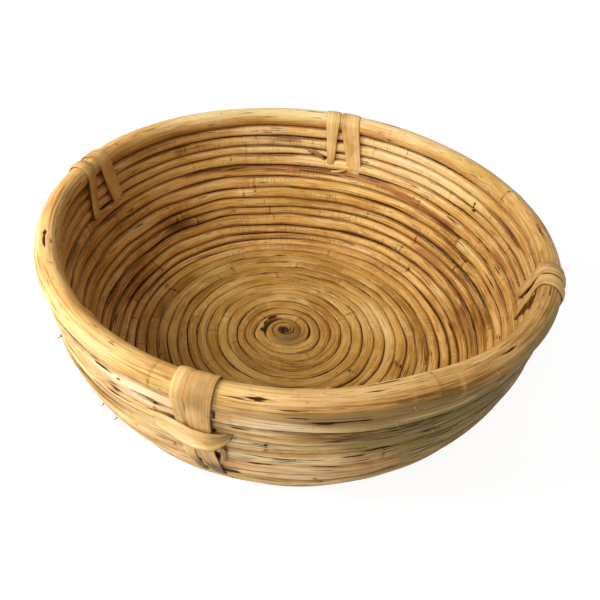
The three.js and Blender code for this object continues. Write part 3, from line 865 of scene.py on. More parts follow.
OUTSIDE_MARKS = {
    "stain": [
        (340, 458, 150, 40, 0.36), (112, 388, 50, 30, 0.12), (112, 387, 8, 6, 0.6),
        (106, 382, 8, 3, 0.5), (319, 480, 10, 5, 0.8), (389, 468, 12, 5, 1.1), (425, 424, 110, 6, 0.45),
    ],
    "crack": [
        (89, 353, 12, 1.2, 1), (98, 361, 16, 1.3, 0.85), (108, 370, 12, 1.3, 1),
        (104, 362, 18, 0.9, 0.75), (144, 396, 18, 1.3, 1.2), (154, 389, 13, 1.1, 1),
        (322, 424, 11, 1.6, 1.3), (430, 455, 20, 1.2, 0.9), (250, 465, 8, 1.2, 0.9),
    ],
    "hole": [
        (119, 379, 2.2, 1.6, 1), (152, 403, 7, 2, 1), (157, 415, 5, 1.5, 1), (172, 418, 6, 1.6, 1.2),
        (137, 424, 3, 1.6, 1), (175, 443, 1.8, 1.4, 0.9), (315, 478, 3, 2, 0.7), (384, 470, 5, 2, 0.8),
    ],
    "shade": [
        (228, 470, 9, 5, 1.1), (213.5, 417, 2, 4, 0.45), (214.5, 432, 2, 5, 0.45),
        (216.5, 453, 5, 6, 0.7),
    ],
    "red": [(246, 458, 14, 8, 0.6), (75, 330, 30, 8, 0.5)],
    # The grey marks on the right of the outside tint it olive grey and darken it as painted shade
    "grey": [
        (355, 420, 60, 5, 0.7), (420, 430, 90, 30, 0.55), (500, 385, 90, 60, 0.95),
        (440, 452, 120, 50, 0.75),
    ],
    # The three broad dark marks on the right of the outside, one under the rim, are painted shade
    "dark": [
        (450, 450, 90, 50, 0.5), (420, 425, 130, 10, 1.9), (490, 400, 100, 60, 1.3),
        (222, 460, 12, 16, 0.7),
    ],
    "pale": [
        (310, 447, 150, 60, 1.15), (420, 411, 110, 4, 0.9), (260, 432, 40, 9, 0.7),
        (120, 360, 60, 12, 0.5),
    ],
}
RIM_MARKS = {
    "crack": [(257, 399, 18, 1.2, 1.3), (44, 240, 12, 1.6, 1.3), (541, 231, 18, 1.4, 1.3)],
    "hole": [
        (258, 399, 4, 1.2, 0.9), (45, 232, 4, 2, 1.3), (50, 262, 2.4, 1.4, 0.8),
        (503, 353, 4, 1.6, 0.7), (512, 202, 2, 1.6, 0.8),
    ],
    "stain": [
        (50, 241, 6, 3, 0.7), (47, 272, 4, 2, 0.5), (112, 341, 3, 2, 0.6), (166, 379, 3, 1.6, 0.6),
        (96, 326, 3, 1.6, 0.6),
    ],
    "pit": [(512, 348.5, 6, 1.1, 0.6)],
    "knob": [(510, 197, 7, 16, 1)],
    "ring": [
        (507, 194, 2, 16, 1.5), (307, 410, 1.2, 14, 0.7), (415, 406, 1.2, 10, 0.9),
        (461, 383, 1.2, 14, 0.8),
    ],
    # The long pale mark over the back of the rim is painted light
    "pale": [
        (527, 222, 30, 6, 0.5), (464, 391, 1.6, 12, 1.6), (414, 400, 1.2, 5, 1.2),
        (310, 112, 220, 14, 2), (255, 396, 90, 16, 0.6),
    ],
    "grey": [(400, 412, 90, 6, 0.8), (545, 335, 70, 12, 0.6)],
    # Both dark marks, on the front right of the rim, are painted shade
    "dark": [(450, 392, 120, 16, 0.6), (410, 402, 130, 16, 0.3)],
    "red": [(310, 112, 220, 14, 0.2), (105, 345, 50, 6, 0.4)],
}

# One course of the back wall is redder than the rest
RED_COURSE = [
    (201, 172), (222, 170), (245, 169), (268, 169), (292, 170), (315, 171), (338, 174), (360, 178),
    (382, 185), (403, 195), (424, 208), (444, 222),
]
INSIDE_MARKS["red"] += [(*pixel, 26, 4.0, 1.7) for pixel in RED_COURSE]
INSIDE_MARKS["stain"] += [(*pixel, 26, 3.2, 0.55) for pixel in RED_COURSE]
SHORT_MARK = 8
marks = []
for surface, kinds in ((INSIDE, INSIDE_MARKS), (OUTSIDE, OUTSIDE_MARKS), (ON_RIM, RIM_MARKS)):
    for kind, rows in kinds.items():
        for x, y, *sizes in rows:
            marks.append((kind, surface, *photo_place(surface, (x, y)), *sizes))


# What the marks on one surface add up to at each point, by how much the point belongs to that surface
def mark_effects(surface, across, azimuth, radius, there=1):
    effects = np.zeros((5,) + across.shape)
    for kind, where, mark_across, mark_azimuth, length, width, strength in marks:
        if where == surface:
            off = np.radians(turned(azimuth, mark_azimuth)) * radius
            off_across = across - mark_across
            if surface == ON_RIM:
                off_across = np.radians(turned(across, mark_across)) * RIM_DIAMETER / 2
            weight = strength * there * bump(off, length / 2) * bump(off_across, width / 2)
            for number, amount in enumerate(MARK_KINDS[kind]):
                effects[number] += amount * weight
    return effects


# Knuckles: places along a cane where a leaf grew, with a ring and a change of tone
def knuckles_of(seed, start, end, spacing):
    chance = np.random.default_rng(seed)
    places = []
    place = start + chance.uniform(0.2, 0.9) * spacing
    while place < end:
        places.append(place)
        place += chance.uniform(0.55, 1.5) * spacing
    count = len(places)
    tones = chance.normal(0, 1, count + 1)
    warmths = chance.normal(0, 1, count + 1)
    return np.array(places), tones, warmths, chance.uniform(0, 1, count)


# How far each place is from its nearest knuckle, and how clear that knuckle is
def nearest_knuckle(off, clearness):
    return off.min(axis=1), clearness[off.argmin(axis=1)]


# Canes
STATION_SPACING = 2.2
STATION_DEGREES = 4
LEAST_RADIUS = 4
FINE_OFFSETS = [-2.4, -1.2, -0.6, 0, 0.6, 1.2, 2.4]
LEAST_SPACING = 0.12
CANE_SIDES = 28
TOUCH = 0.05
KNUCKLE_SEED = 200
KNUCKLE_SPACING = 115
KNUCKLE_HALF = 3.5
KNUCKLE_RING = 0.7
SWELLING = 0.04
RING_DEPTH = 0.03
RING_SHADE = 0.12
RING_STAIN = 0.35
PIT_STAIN = 0.9
PIT_STAIN_RADIUS = 3
TONE_STEP = 0.05
WARMTH_STEP = 0.03
END_STEPS = [0, 0.25, 0.7]
END_SHARES = [0.86, 0.96, 1]
FLAT_OUTSIDE = 0.06
GRAIN_STEP = 900

# A cane's section: how square it is on the floor, and how much rounder each side is in the wall
SQUARENESS = 4.6
INNER_ROUNDER = 2.0
OUTER_ROUNDER = 0.6

# Places in the section between which the outer look begins, and the edges draw back
OUTER_FADE = (-0.15, 0.25)
SHAVED_OUT = (0.12, 0.75)
SHAVED_ACROSS = (0.1, 0.9)

# The height of a cane as a share of its width, on the floor and how much more in the wall
FLOOR_RIDGE = 0.98
WALL_RIDGE_MORE = 0.06

# The middle tone, how much lighter the wall is, and the place of the pale band beside a ring
MIDDLE_TONE = 0.5
WALL_LIGHTER = 0.03
HALO_PLACE = 2.4
HALO_HALF = 1.3
section_angles = np.arange(CANE_SIDES) / CANE_SIDES * 2 * math.pi


def cane_stations(start, end, fine_turns):
    stations = [start]
    while stations[-1] < end:
        turn = stations[-1]
        radius = max(float(turn_radius(turn)), LEAST_RADIUS)
        stations.append(turn + min(STATION_SPACING / (2 * math.pi * radius), STATION_DEGREES / TURN))
    stations[-1] = end
    for turn in fine_turns:
        radius = float(turn_radius(turn))
        stations += [turn + offset / (2 * math.pi * radius) for offset in FINE_OFFSETS]
    stations = np.sort([turn for turn in stations if start <= turn <= end])
    apart = arc(np.diff(stations), stations[:-1]) > LEAST_SPACING
    return np.concatenate([stations[:-1][apart], [end]])


# The turns at which short marks lie on a cane between two turns
def marked_turns(start, end):
    found = []
    for kind, surface, reach, azimuth, length, width, strength in marks:
        if surface != ON_RIM and length < SHORT_MARK:
            counts = np.arange(-1, turns) + (azimuth - START_DEGREES) % TURN / TURN
            low = groove_reach(counts)
            turn = counts[max(int(np.searchsorted(low, reach)) - 1, 0)]
            if start < turn < end:
                found.append(turn)
    return found


# A cane's section is rounder inside the bowl than outside, and nearly flat on the floor
def cane_section(in_wall):
    cos = np.cos(section_angles)[None, :]
    sin = np.sin(section_angles)[None, :]
    inner = (SQUARENESS - INNER_ROUNDER * in_wall)[:, None]
    outer = (SQUARENESS - OUTER_ROUNDER * in_wall)[:, None]
    power = np.where(sin < 0, inner, outer)
    size = (np.abs(cos) ** power + np.abs(sin) ** power) ** (-1 / power)
    return size * cos, size * sin


# How far a cane's edges draw back from its two grooves, and how clean those are
def groove_edges(turn, across, outer):
    draw_in = np.zeros_like(across)
    clean = np.zeros_like(across)
    for face, there in ((INSIDE, 1 - outer), (OUTSIDE, outer)):
        below = groove_gaps(turn + 1, face)[0]
        above = groove_gaps(turn, face)[1]
        draw_in += there * np.where(across > 0, below[:, None], above[:, None])
        after = groove_cleanness(turn + 1, face)
        before = groove_cleanness(turn, face)
        clean += there * np.where(across > 0, after[:, None], before[:, None])
    return draw_in, clean


# The layers that a cane's material reads, with what the marks add to them
def cane_layers(effects, tone, groove, stain, warmth, outer):
    return {
        "tone": tone + effects[1],
        "groove": groove,
        "stain": stain + effects[0],
        "reddish": warmth[:, None] + effects[2],
        "grey": effects[3],
        "outer": outer,
    }


def cane_effects(turn, centre, across, outer, low_reach, high_reach):
    reach = low_reach[:, None] + (across + 1) / 2 * (high_reach - low_reach)[:, None]
    azimuth = np.broadcast_to(np.degrees(azimuth_of(turn))[:, None], reach.shape)
    radius = np.hypot(centre[:, 0], centre[:, 1])[:, None]
    inside = mark_effects(INSIDE, reach, azimuth, radius, 1 - outer)
    return inside + mark_effects(OUTSIDE, reach, azimuth, radius, outer)


def add_cane(name, start, end, number, material):
    knuckle_seed = KNUCKLE_SEED + number
    places, tones, warmths, clearness = knuckles_of(knuckle_seed, *length_at([start, end]), KNUCKLE_SPACING)
    knuckle_turns = np.interp(places, table_lengths, table_turns)
    turn = cane_stations(start, end, list(knuckle_turns) + marked_turns(start, end))
    centre, side, outward, half_width, low_reach, high_reach = course_frames(turn)
    along = summed(np.linalg.norm(np.diff(centre, axis=0), axis=1))
    in_wall = wall_share(turn)
    across, out = cane_section(in_wall)
    outer = smooth_step(out, *OUTER_FADE)
    effects = cane_effects(turn, centre, across, outer, low_reach, high_reach)
    segment = np.searchsorted(knuckle_turns, turn)
    off = arc(np.abs(turn[:, None] - knuckle_turns), turn[:, None])
    knuckle, clear = nearest_knuckle(off, clearness)
    ring = clear * bump(knuckle, KNUCKLE_RING)
    swelling = SWELLING * clear * bump(knuckle, KNUCKLE_HALF) - RING_DEPTH * ring
    height = FLOOR_RIDGE + WALL_RIDGE_MORE * in_wall + swelling + waves(RIDGE_WAVES, along, number)
    ridge = half_width * height
    depth = waves(DEPTH_WAVES, along, number) + PIT_DEPTH * bump(low_reach, PIT_RADIUS)
    draw_in, clean = groove_edges(turn, across, outer)
    shaved = smooth_step(np.abs(out), *SHAVED_OUT) * smooth_step(np.abs(across), *SHAVED_ACROSS)
    half = (half_width + TOUCH)[:, None] - draw_in * shaved
    taper = np.interp(along, END_STEPS, END_SHARES) * np.interp(along[-1] - along, END_STEPS, END_SHARES)
    out_places = (out * ridge[:, None] - np.sign(out) * effects[4]) * taper[:, None]
    out_places = out_places * np.where(out > 0, 1 - FLAT_OUTSIDE * in_wall[:, None], 1) + depth[:, None]
    points = points_round(centre, side, outward, across * half, out_places)
    around = np.broadcast_to(section_angles * WALL_CANE_DIAMETER / 2, across.shape)
    faces, uvs = open_skin(around, along + number * GRAIN_STEP)
    tone = MIDDLE_TONE + WALL_LIGHTER * in_wall + TONE_STEP * tones[segment]
    tone = tone + waves(TONE_WAVES, along, number)
    tone += RING_SHADE * (clear * bump(knuckle - HALO_PLACE, HALO_HALF) - ring)
    warmth = WARMTH_STEP * warmths[segment] + waves(WARMTH_WAVES, along, number)
    stain = RING_STAIN * ring + PIT_STAIN * bump(low_reach, PIT_STAIN_RADIUS)
    layers = cane_layers(effects, tone[:, None], np.abs(across) - clean, stain[:, None], warmth, outer)
    add_piece(name, points.reshape(-1, 3), faces, uvs, layers, material, [name])


def add_canes():
    floor_material = cane_material("floor cane", FLOOR_LOOK)
    wall_material = cane_material("wall cane", WALL_LOOK)
    stops = [CENTRE_START]
    stops += [floor_turns * count / FLOOR_CANES for count in range(1, FLOOR_CANES + 1)]
    stops += [floor_turns + wall_turns * count / WALL_CANES for count in range(1, WALL_CANES)]
    stops.append(turns - TAIL_STOP * RAMP_DEGREES / TURN)
    trim = JOINT_GAP / 2 / (2 * math.pi * JOINT_RADIUS)
    for number, (start, end) in enumerate(zip(stops[:-1], stops[1:])):
        if number < FLOOR_CANES:
            name = f"base_cane_{number + 1}"
            add_cane(name, start + trim, end - trim, number, floor_material)
        else:
            name = f"wall_cane_{number + 1 - FLOOR_CANES}"
            add_cane(name, start + trim, end - trim, number, wall_material)


# Rim: one thick cane whose ends lie beside each other, with a seam between them
RIM_STATIONS = 660
RIM_SIDES = 60
RIM_SEED = 260
RIM_KNUCKLE_SPACING = 190
RIM_KNUCKLE_HALF = 4
RIM_KNUCKLE_RING = 0.8
RIM_SWELLING = 0.22
RIM_RING_DEPTH = 0.12
RIM_RING_STAIN = 0.3
RIM_RING_SHADE = 0.1
RIM_TONE_STEP = 0.03
RIM_OUTER = 0.2
RIM_OUTER_MORE = 0.35
RIM_OUTER_FADE = (-0.5, 0.9)
RIM_GRAIN_START = 9000
SEAM_PIXELS = [(519, 345), (505, 353), (491, 358), (475, 364), (458, 368)]
SEAM_INNER_DEGREES = [288, 276]
SEAM_INNER_ABOUT = [136, 142]
SEAM_DEPTH = 0.6
SEAM_HALF_WIDTH = 0.55
SEAM_STAIN = 0.5
STRIP_PALER = 0.1
STRIP_EDGE = (0.2, 0.8)
STRIP_END = (190, 215)
STRIP_DEGREES = 293
STRIP_HALF_DEGREES = 16
STRIP_BULGE = 2.3
STRIP_ABOUT = 158
STRIP_HALF_ABOUT = 44
seam_places = [photo_place(ON_RIM, pixel) for pixel in SEAM_PIXELS]


# How far a point on the rim lies from the seam, and whether the seam runs there
def seam_distance(azimuth, about):
    azimuths = SEAM_INNER_DEGREES[::-1] + [place[1] for place in seam_places[::-1]]
    abouts = SEAM_INNER_ABOUT[::-1] + [place[0] for place in seam_places[::-1]]
    middle = np.interp(azimuth, azimuths, abouts)
    there = smooth_step(azimuth, azimuths[0], azimuths[0] + 4)
    there *= smooth_fall(azimuth, azimuths[-1] - 2, azimuths[-1])
    return np.radians(about - middle) * RIM_DIAMETER / 2, there


def add_rim():
    material = cane_material("rim cane", RIM_LOOK)
    azimuth = np.arange(RIM_STATIONS) / RIM_STATIONS * TURN
    about = np.arange(RIM_SIDES) / RIM_SIDES * TURN - 90
    azimuth, about = np.meshgrid(azimuth, about, indexing="ij")
    along = np.radians(azimuth[:, 0]) * MOUTH_RADIUS
    effects = mark_effects(ON_RIM, about, azimuth, MOUTH_RADIUS)
    places, tones, warmths, clearness = knuckles_of(RIM_SEED, 0, along[-1], RIM_KNUCKLE_SPACING)
    segment = np.searchsorted(places, along)
    knuckle, clear = nearest_knuckle(np.abs(along[:, None] - places), clearness)
    ring = clear * bump(knuckle, RIM_KNUCKLE_RING)
    swelling = RIM_SWELLING * clear * bump(knuckle, RIM_KNUCKLE_HALF) - RIM_RING_DEPTH * ring
    distance, seam = seam_distance(azimuth, about)
    line = bump(distance, SEAM_HALF_WIDTH) * seam
    strip = bump(azimuth - STRIP_DEGREES, STRIP_HALF_DEGREES)
    strip = strip * bump(turned(about, STRIP_ABOUT), STRIP_HALF_ABOUT)
    lift = (waves(RIM_SIZE_WAVES, along) + swelling)[:, None]
    lift = lift + STRIP_BULGE * strip - SEAM_DEPTH * line - effects[4]
    points, outward = rim_point(np.radians(azimuth), np.radians(about), lift)
    around = np.radians(about + 90) * RIM_DIAMETER / 2
    faces, uvs = skin(around, along + RIM_GRAIN_START, True)
    tone = MIDDLE_TONE + RIM_TONE_STEP * tones[segment] + waves(RIM_TONE_WAVES, along)
    tone -= RIM_RING_SHADE * ring
    inner_strip = smooth_step(distance, *STRIP_EDGE) * smooth_fall(about, *STRIP_END) * seam
    tone = tone[:, None] + STRIP_PALER * inner_strip
    stain = SEAM_STAIN * line + RIM_RING_STAIN * ring[:, None]
    outer = RIM_OUTER + RIM_OUTER_MORE * smooth_step(np.cos(np.radians(about)), *RIM_OUTER_FADE)
    layers = cane_layers(effects, tone, np.zeros_like(azimuth), stain, WARMTH_STEP * warmths[segment], outer)
    add_piece("rim_cane", points.reshape(-1, 3), faces, uvs, layers, material, ["rim_cane"])


# Lashings: flat straps of peel, each laid along a line of places on the wall or round the rim
STRAP_COLUMNS = 19
STRAP_SPACING = 0.9
LINE_STEPS = 24
SPLINE = np.array([[0, 2, 0, 0], [-1, 0, 1, 0], [2, -5, 4, -1], [-1, 3, -3, 1]]) / 2
SEAT = 0.25
STRAND_WIDTH = 2.4
STRAND_TONE = 0.05
STRAND_SEED = 90
CROWN = 0.25
VALLEY_DEPTH = 0.06
STRAP_GRAIN_WIDTH = 21
STRAP_GRAIN_STEP = 130
DARKENED_BELOW = 58
DARKENED_FADE = 12
DARK_END_LENGTH = 16
LEAN = 0.22
RIM_LIFT = 0.3
LEAVES_RIM_ABOUT = 168
LEAN_FROM_ABOUT = 30
RIM_ABOUTS = range(-5, 151, 26)
OUT_GROOVE = 4.6

# The places of a strap outside, in courses: the first one over its groove, the step and the last one.
# Towards the rim it stands off the canes a little.
FIRST_ROW = 0.6
ROW_STEP = 0.8
BELOW_RIM = 1.5
SLACK = 0.9

# Where the ends of a strap go into their grooves: how far past it, in courses, and the height over the canes
OUTER_END = [(0, -4.5), (-0.15, -1)]
INNER_END = [(-0.3, 0.7), (-0.02, -1.6), (0.04, -5)]
crosswise = np.linspace(-1, 1, STRAP_COLUMNS)


# On the wall: groove counts down from the one under the rim
def on_wall(side, azimuth, groove, lift, width):
    turn = np.array(turns - groove + (azimuth - START_DEGREES) / TURN)
    point, outward = skin_point(side, groove_reach(turn), np.radians(azimuth), SEAT + lift)
    return point, outward, width


def on_rim(azimuth, about, lift, width):
    point, outward = rim_point(np.radians(azimuth), np.radians(about), SEAT + lift)
    return point, outward, width


# A smooth line through the places, cut into even steps
def smooth_line(values, spacing):
    values = np.asarray(values, dtype=float)
    padded = np.concatenate([[2 * values[0] - values[1]], values, [2 * values[-1] - values[-2]]])
    powers = np.linspace(0, 1, LINE_STEPS, endpoint=False)[:, None] ** np.arange(4)
    pieces = [powers @ SPLINE @ padded[start:start + 4] for start in range(len(values) - 1)]
    line = np.concatenate(pieces + [values[-1:]])
    length = summed(np.linalg.norm(np.diff(line[:, :3], axis=0), axis=1))
    steps = max(int(length[-1] / spacing), 2)
    even = np.linspace(0, length[-1], steps + 1)
    return np.stack([np.interp(even, length, column) for column in line.T], axis=-1), even


# The valleys between a strap's strands, and a tone for each strand
def strand_lines(width, seed):
    strands = max(round(float(np.median(width)) / STRAND_WIDTH), 1)
    phase = (crosswise + 1) / 2 * strands + 0.12 * np.sin(crosswise * 5 + seed)
    valley = np.cos(phase * math.pi) ** 8 * (np.abs(crosswise) < 0.9)
    tones = np.random.default_rng(seed + STRAND_SEED).normal(0, STRAND_TONE, strands + 2)
    return valley, tones[np.clip(phase.astype(int), 0, strands + 1)]


# The skin of one strap: crowned across, in strands with fine lines between, with wavy and lifted edges
def strap(places, seed, lift_left=0.0, lift_right=0.0, lighter=0.0, rosy=0.0, darkened=0.0, dark_end=0.0):
    values = [np.concatenate([point, outward, [width]]) for point, outward, width in places]
    line, along = smooth_line(values, STRAP_SPACING)
    centre = line[:, :3]
    width = line[:, 6] * (1 + waves(STRAP_WIDTH_WAVES, along, seed))
    forward = unit(np.gradient(centre, axis=0))
    across = unit(np.cross(forward, unit(line[:, 3:6])))
    outward = np.cross(across, forward)
    valley, strand_tone = strand_lines(width, seed)
    lifted = np.where(crosswise < 0, lift_left, lift_right) * np.abs(crosswise) ** 3
    edge = STRAP_THICKNESS / 2 * (1 - 0.5 * crosswise ** 6)
    top = CROWN * (1 - crosswise ** 2) - VALLEY_DEPTH * valley + lifted + edge
    across_places = np.concatenate([crosswise, crosswise[::-1]]) * width[:, None] / 2
    out_places = np.concatenate([top, (lifted - edge)[::-1]])
    out_places = out_places + waves(STRAP_RIPPLE_WAVES, along, seed)[:, None]
    points = points_round(centre, across, outward, across_places, out_places)
    shape = across_places.shape
    around = np.broadcast_to(np.linspace(0, STRAP_GRAIN_WIDTH, 2 * STRAP_COLUMNS), shape)
    faces, uvs = open_skin(around, along + seed * STRAP_GRAIN_STEP)
    tone = MIDDLE_TONE + lighter + waves(STRAP_TONE_WAVES, along, seed)
    outside = np.sum(outward[:, :2] * centre[:, :2], axis=1) > 0
    # Darker towards the bottom, on the outside of the bowl
    tone -= darkened * outside * smooth_fall(centre[:, 2], DARKENED_BELOW - DARKENED_FADE, DARKENED_BELOW)
    tone -= dark_end * smooth_step(along, along[-1] - DARK_END_LENGTH, along[-1])
    on_top = rosy * smooth_step(centre[:, 2], rim_level - 12, rim_level + 2)
    attributes = {
        "tone": tone[:, None] + np.concatenate([strand_tone, strand_tone[::-1]]),
        "rosy": np.broadcast_to(on_top[:, None], shape),
        "edge": np.broadcast_to(np.concatenate([np.abs(crosswise), np.ones(STRAP_COLUMNS)]), shape),
        "line": np.broadcast_to(np.concatenate([valley, np.zeros(STRAP_COLUMNS)]), shape),
    }
    return points.reshape(-1, 3), faces, uvs, {key: layer.reshape(-1) for key, layer in attributes.items()}


# At a pixel of the photograph, as near as the skin there can be seen
def at_pixel(surface, x, y, lift, width):
    aim = np.array([x, y], dtype=float)
    for step in range(3):
        across, azimuth = photo_place(surface, aim)
        if surface == ON_RIM:
            point, outward = rim_point(np.radians(azimuth), np.radians(across), SEAT + lift)
        else:
            point, outward = skin_point(surface, np.array(across), np.radians(azimuth), SEAT + lift)
        aim += np.array([x, y]) - seen_at(handmade(point))
    return point, outward, width


# The azimuth, and the groove counted down from the rim, that a pixel shows inside the bowl
def groove_place(pixel):
    reach, azimuth = photo_place(INSIDE, pixel)
    azimuth = START_DEGREES + (azimuth - START_DEGREES) % TURN
    counts = np.arange(turns + 1) + (azimuth - START_DEGREES) / TURN
    return azimuth, turns + (azimuth - START_DEGREES) / TURN - np.interp(reach, groove_reach(counts), counts)


# The upper part of a strap: over the rim, and taut from there down into a groove inside
def over_rim(rim_azimuth, in_azimuth, in_groove, rim_width, in_width):
    lean = (in_azimuth - rim_azimuth) * LEAN
    places = []
    for about in RIM_ABOUTS:
        share = max(about - LEAN_FROM_ABOUT, 0) / (LEAVES_RIM_ABOUT - LEAN_FROM_ABOUT)
        places.append(on_rim(rim_azimuth + lean * share, about, RIM_LIFT, rim_width))
    start = on_rim(rim_azimuth + lean, LEAVES_RIM_ABOUT, RIM_LIFT, rim_width)
    foot = [on_wall(INSIDE, in_azimuth, in_groove + past, lift, in_width) for past, lift in INNER_END]
    places.append(start)
    for share in (0.25, 0.5, 0.75):
        places.append(tuple(first + (last - first) * share for first, last in zip(start, foot[0])))
    return places + foot


# A strap that comes out of a groove outside, goes up over the rim and down into a groove inside
def loop_places(out_azimuth, rim_azimuth, foot_pixel, widths):
    out_width, rim_width, in_width = widths
    in_azimuth, in_groove = groove_place(foot_pixel)
    places = [on_wall(OUTSIDE, out_azimuth, OUT_GROOVE + past, lift, out_width) for past, lift in OUTER_END]
    for row in np.arange(OUT_GROOVE - FIRST_ROW, BELOW_RIM, -ROW_STEP):
        share = row / OUT_GROOVE
        azimuth = rim_azimuth + (out_azimuth - rim_azimuth) * share
        width = rim_width + (out_width - rim_width) * share ** 2
        places.append(on_wall(OUTSIDE, azimuth, row, RIM_LIFT + SLACK * (1 - share) ** 2, width))
    return places + over_rim(rim_azimuth, in_azimuth, in_groove, rim_width, in_width)


# One piece made of several parts
def add_parts(name, parts, material, nodes):
    faces = []
    start = 0
    for points, part_faces, uvs, attributes in parts:
        faces += [tuple(corner + start for corner in face) for face in part_faces]
        start += len(points)
    layers = {key: np.concatenate([part[3][key] for part in parts]) for key in parts[0][3]}
    points = np.concatenate([part[0] for part in parts])
    uvs = np.concatenate([part[2] for part in parts])
    add_piece(name, points, faces, uvs, layers, material, nodes)


PEEL_STOPS = (0, 0.3, 0.55, 0.8, 1)
PEEL_RGB = [(100, 80, 44), (172, 132, 72), (220, 173, 102), (240, 197, 128), (252, 222, 164)]
PEEL_SHADES = shade_stops(PEEL_STOPS, PEEL_RGB)
PEEL_OLIVE = colour(178, 148, 84)
PEEL_ROSE = colour(206, 134, 72)
PEEL_EDGE = colour(96, 62, 26)
PEEL_SEAM = colour(104, 68, 30)


# Peel: smooth and a little glossy, with fine parallel lines, olive and rosy clouds and browner edges
def peel_material():
    graph = material_graph("peel")
    lines = graph.grain(0.9, 80, 0.0, 3, 0.6)
    fine = graph.grain(0.4, 30, 5.1, 1, 0.5)
    cloud = graph.grain(9, 16, 1.7, 3, 0.5)
    spots = graph.grain(4, 6, 3.3, 3, 0.6)
    value = graph.blend(graph.attribute("tone"), (lines, 0.6), (fine, 0.3), (cloud, 1.15))
    shade = graph.ramp(graph.minus(value, 0.98), PEEL_SHADES)
    rosy = graph.blend(graph.attribute("rosy"), (spots, 1.0), (cloud, 0.8))
    shade = graph.mix(graph.span(rosy, 1.05, 1.5, 0, 0.75), shade, PEEL_ROSE)
    shade = graph.mix(graph.span(cloud, 0.26, 0.44, 0.5, 0), shade, PEEL_OLIVE)
    ragged = graph.blend(graph.attribute("edge"), (lines, 0.2))
    shade = graph.mix(graph.span(ragged, 1.0, 1.14, 0, 0.65), shade, PEEL_EDGE)
    seams = graph.times(graph.attribute("line"), graph.span(cloud, 0.35, 0.65, 0.03, 0.3))
    graph.set("Base Color", graph.mix(seams, shade, PEEL_SEAM))
    graph.set("Roughness", graph.span(cloud, 0.3, 0.7, 0.44, 0.6))
    graph.set("Specular IOR Level", 0.25)
    graph.set("Normal", graph.bump(graph.blend(lines, (fine, 0.4)), 0.5, 0.0003))
    return graph.owner


# Straps placed by the photograph: pixel x and y, height over the canes, and width.
# The front lashing's two straps lie side by side and draw together in a tail at the foot.
LEFT_STRAP = [
    (210, 473.5, -2.5, 2.5), (204.5, 467, 0.1, 3.6), (197.5, 459.5, 0.4, 4.8), (191, 450, 0.4, 5.8),
    (184.5, 430, 0.4, 6.4), (180, 411, 1, 6.6),
]
RIGHT_STRAP = [
    (224.5, 475, -2.5, 4.5), (219, 470.5, 0.2, 6.5), (212, 461.5, 0.6, 8.4), (206, 450, 0.9, 9.8),
    (200.5, 430, 0.8, 11), (197, 412, 1.4, 11.8),
]
# The band laid across them, with a folded tip, and the curl under the tip
BAND = [
    (150, 412.5, -2.6, 8.5), (158, 417.5, 0.3, 9.6), (167, 422.8, 1, 10.4), (179, 430, 1.8, 11.5),
    (192.8, 436.6, 2.4, 12), (205.5, 439.6, 2.8, 11), (214, 440, 2.9, 8.6), (221, 438.6, 2.8, 5.6),
    (227, 436.6, 2.4, 2.8), (232, 434.6, 1.8, 0.5),
]
FOLD = [
    (211, 447.5, 2, 1.6), (218, 445, 3, 2), (224, 441, 3.1, 1.8), (228.5, 437.5, 2.8, 1.4),
    (232.5, 434.6, 1.8, 0.5),
]
CURL = [
    (217, 448, 0.6, 2.4), (221.5, 449, 1.6, 2.6), (224.2, 453.5, 2, 2.6), (223, 459, 1.4, 2.4),
    (219.5, 463.5, -1, 2),
]
# The foot of the left lashing's first strap is folded to the side
FOLDED_FOOT = [
    (94.5, 218, 0.9, 4.4), (99, 214.5, 1.5, 4.6), (104, 211.5, 1.5, 4.4), (109, 209, 1, 3.8),
    (112.5, 207.5, -1.5, 3),
]
# A tail between the feet of the back lashing, and a splinter of cane bent up beside it
BACK_TAIL = [
    (331, 171.5, 0.6, 2), (336, 172, 1.2, 2.2), (341, 171, 1.2, 2), (346, 170, 0.2, 1.6),
]
SPLINTER = [
    (308, 151, 0.2, 1.2), (312, 150, 1.6, 2.4), (317, 153.5, 2, 2.8), (322, 157.5, 1, 2),
    (325, 160, -0.6, 1.4),
]


def laid(places, surface=OUTSIDE):
    return [at_pixel(surface, *place) for place in places]


# The front straps over the rim: azimuths on the rim and of the foot inside, its groove, and both widths
LEFT_OVER_RIM = (253, 251.8, 7, 6.8, 6)
RIGHT_OVER_RIM = (256.6, 255, 7, 12.2, 8)

# The straps of the further lashings: azimuths of the foot outside and on the rim, the pixel of the foot
# inside, the widths outside, on the rim and inside, and how much lighter the strap is
FIRST_LOOP_SEED = 5
LOOPS = {
    "right": [
        (337.4, 338.6, (514.5, 319), (7, 10, 6), 0.03),
        (342.2, 343.4, (521.5, 292), (7, 11, 7), 0),
    ],
    "back": [
        (437.5, 438.3, (352.5, 171.5), (9, 13.6, 11.5), 0.18),
        (443, 443.4, (329.5, 167.5), (7, 10.6, 6), 0.12),
    ],
    "left": [
        (523.5, 524, (119, 205), (8, 11.4, 10.5), 0),
        (529, 529.6, (96.5, 219), (7, 8.6, 7.6), 0),
    ],
}


def front_straps():
    left = laid(LEFT_STRAP) + over_rim(*LEFT_OVER_RIM)
    right = laid(RIGHT_STRAP) + over_rim(*RIGHT_OVER_RIM)
    return [
        strap(left, 1, lighter=0.05, rosy=0.15, darkened=0.55),
        strap(right, 2, 0.1, 0.5, lighter=0.06, rosy=0.35, darkened=0.55),
        strap(laid(BAND), 3, 0.0, 1.6, lighter=0.1, darkened=0.16, dark_end=0.5),
        strap(laid(FOLD), 13, lighter=-0.4),
        strap(laid(CURL), 4, lighter=-0.25),
    ]


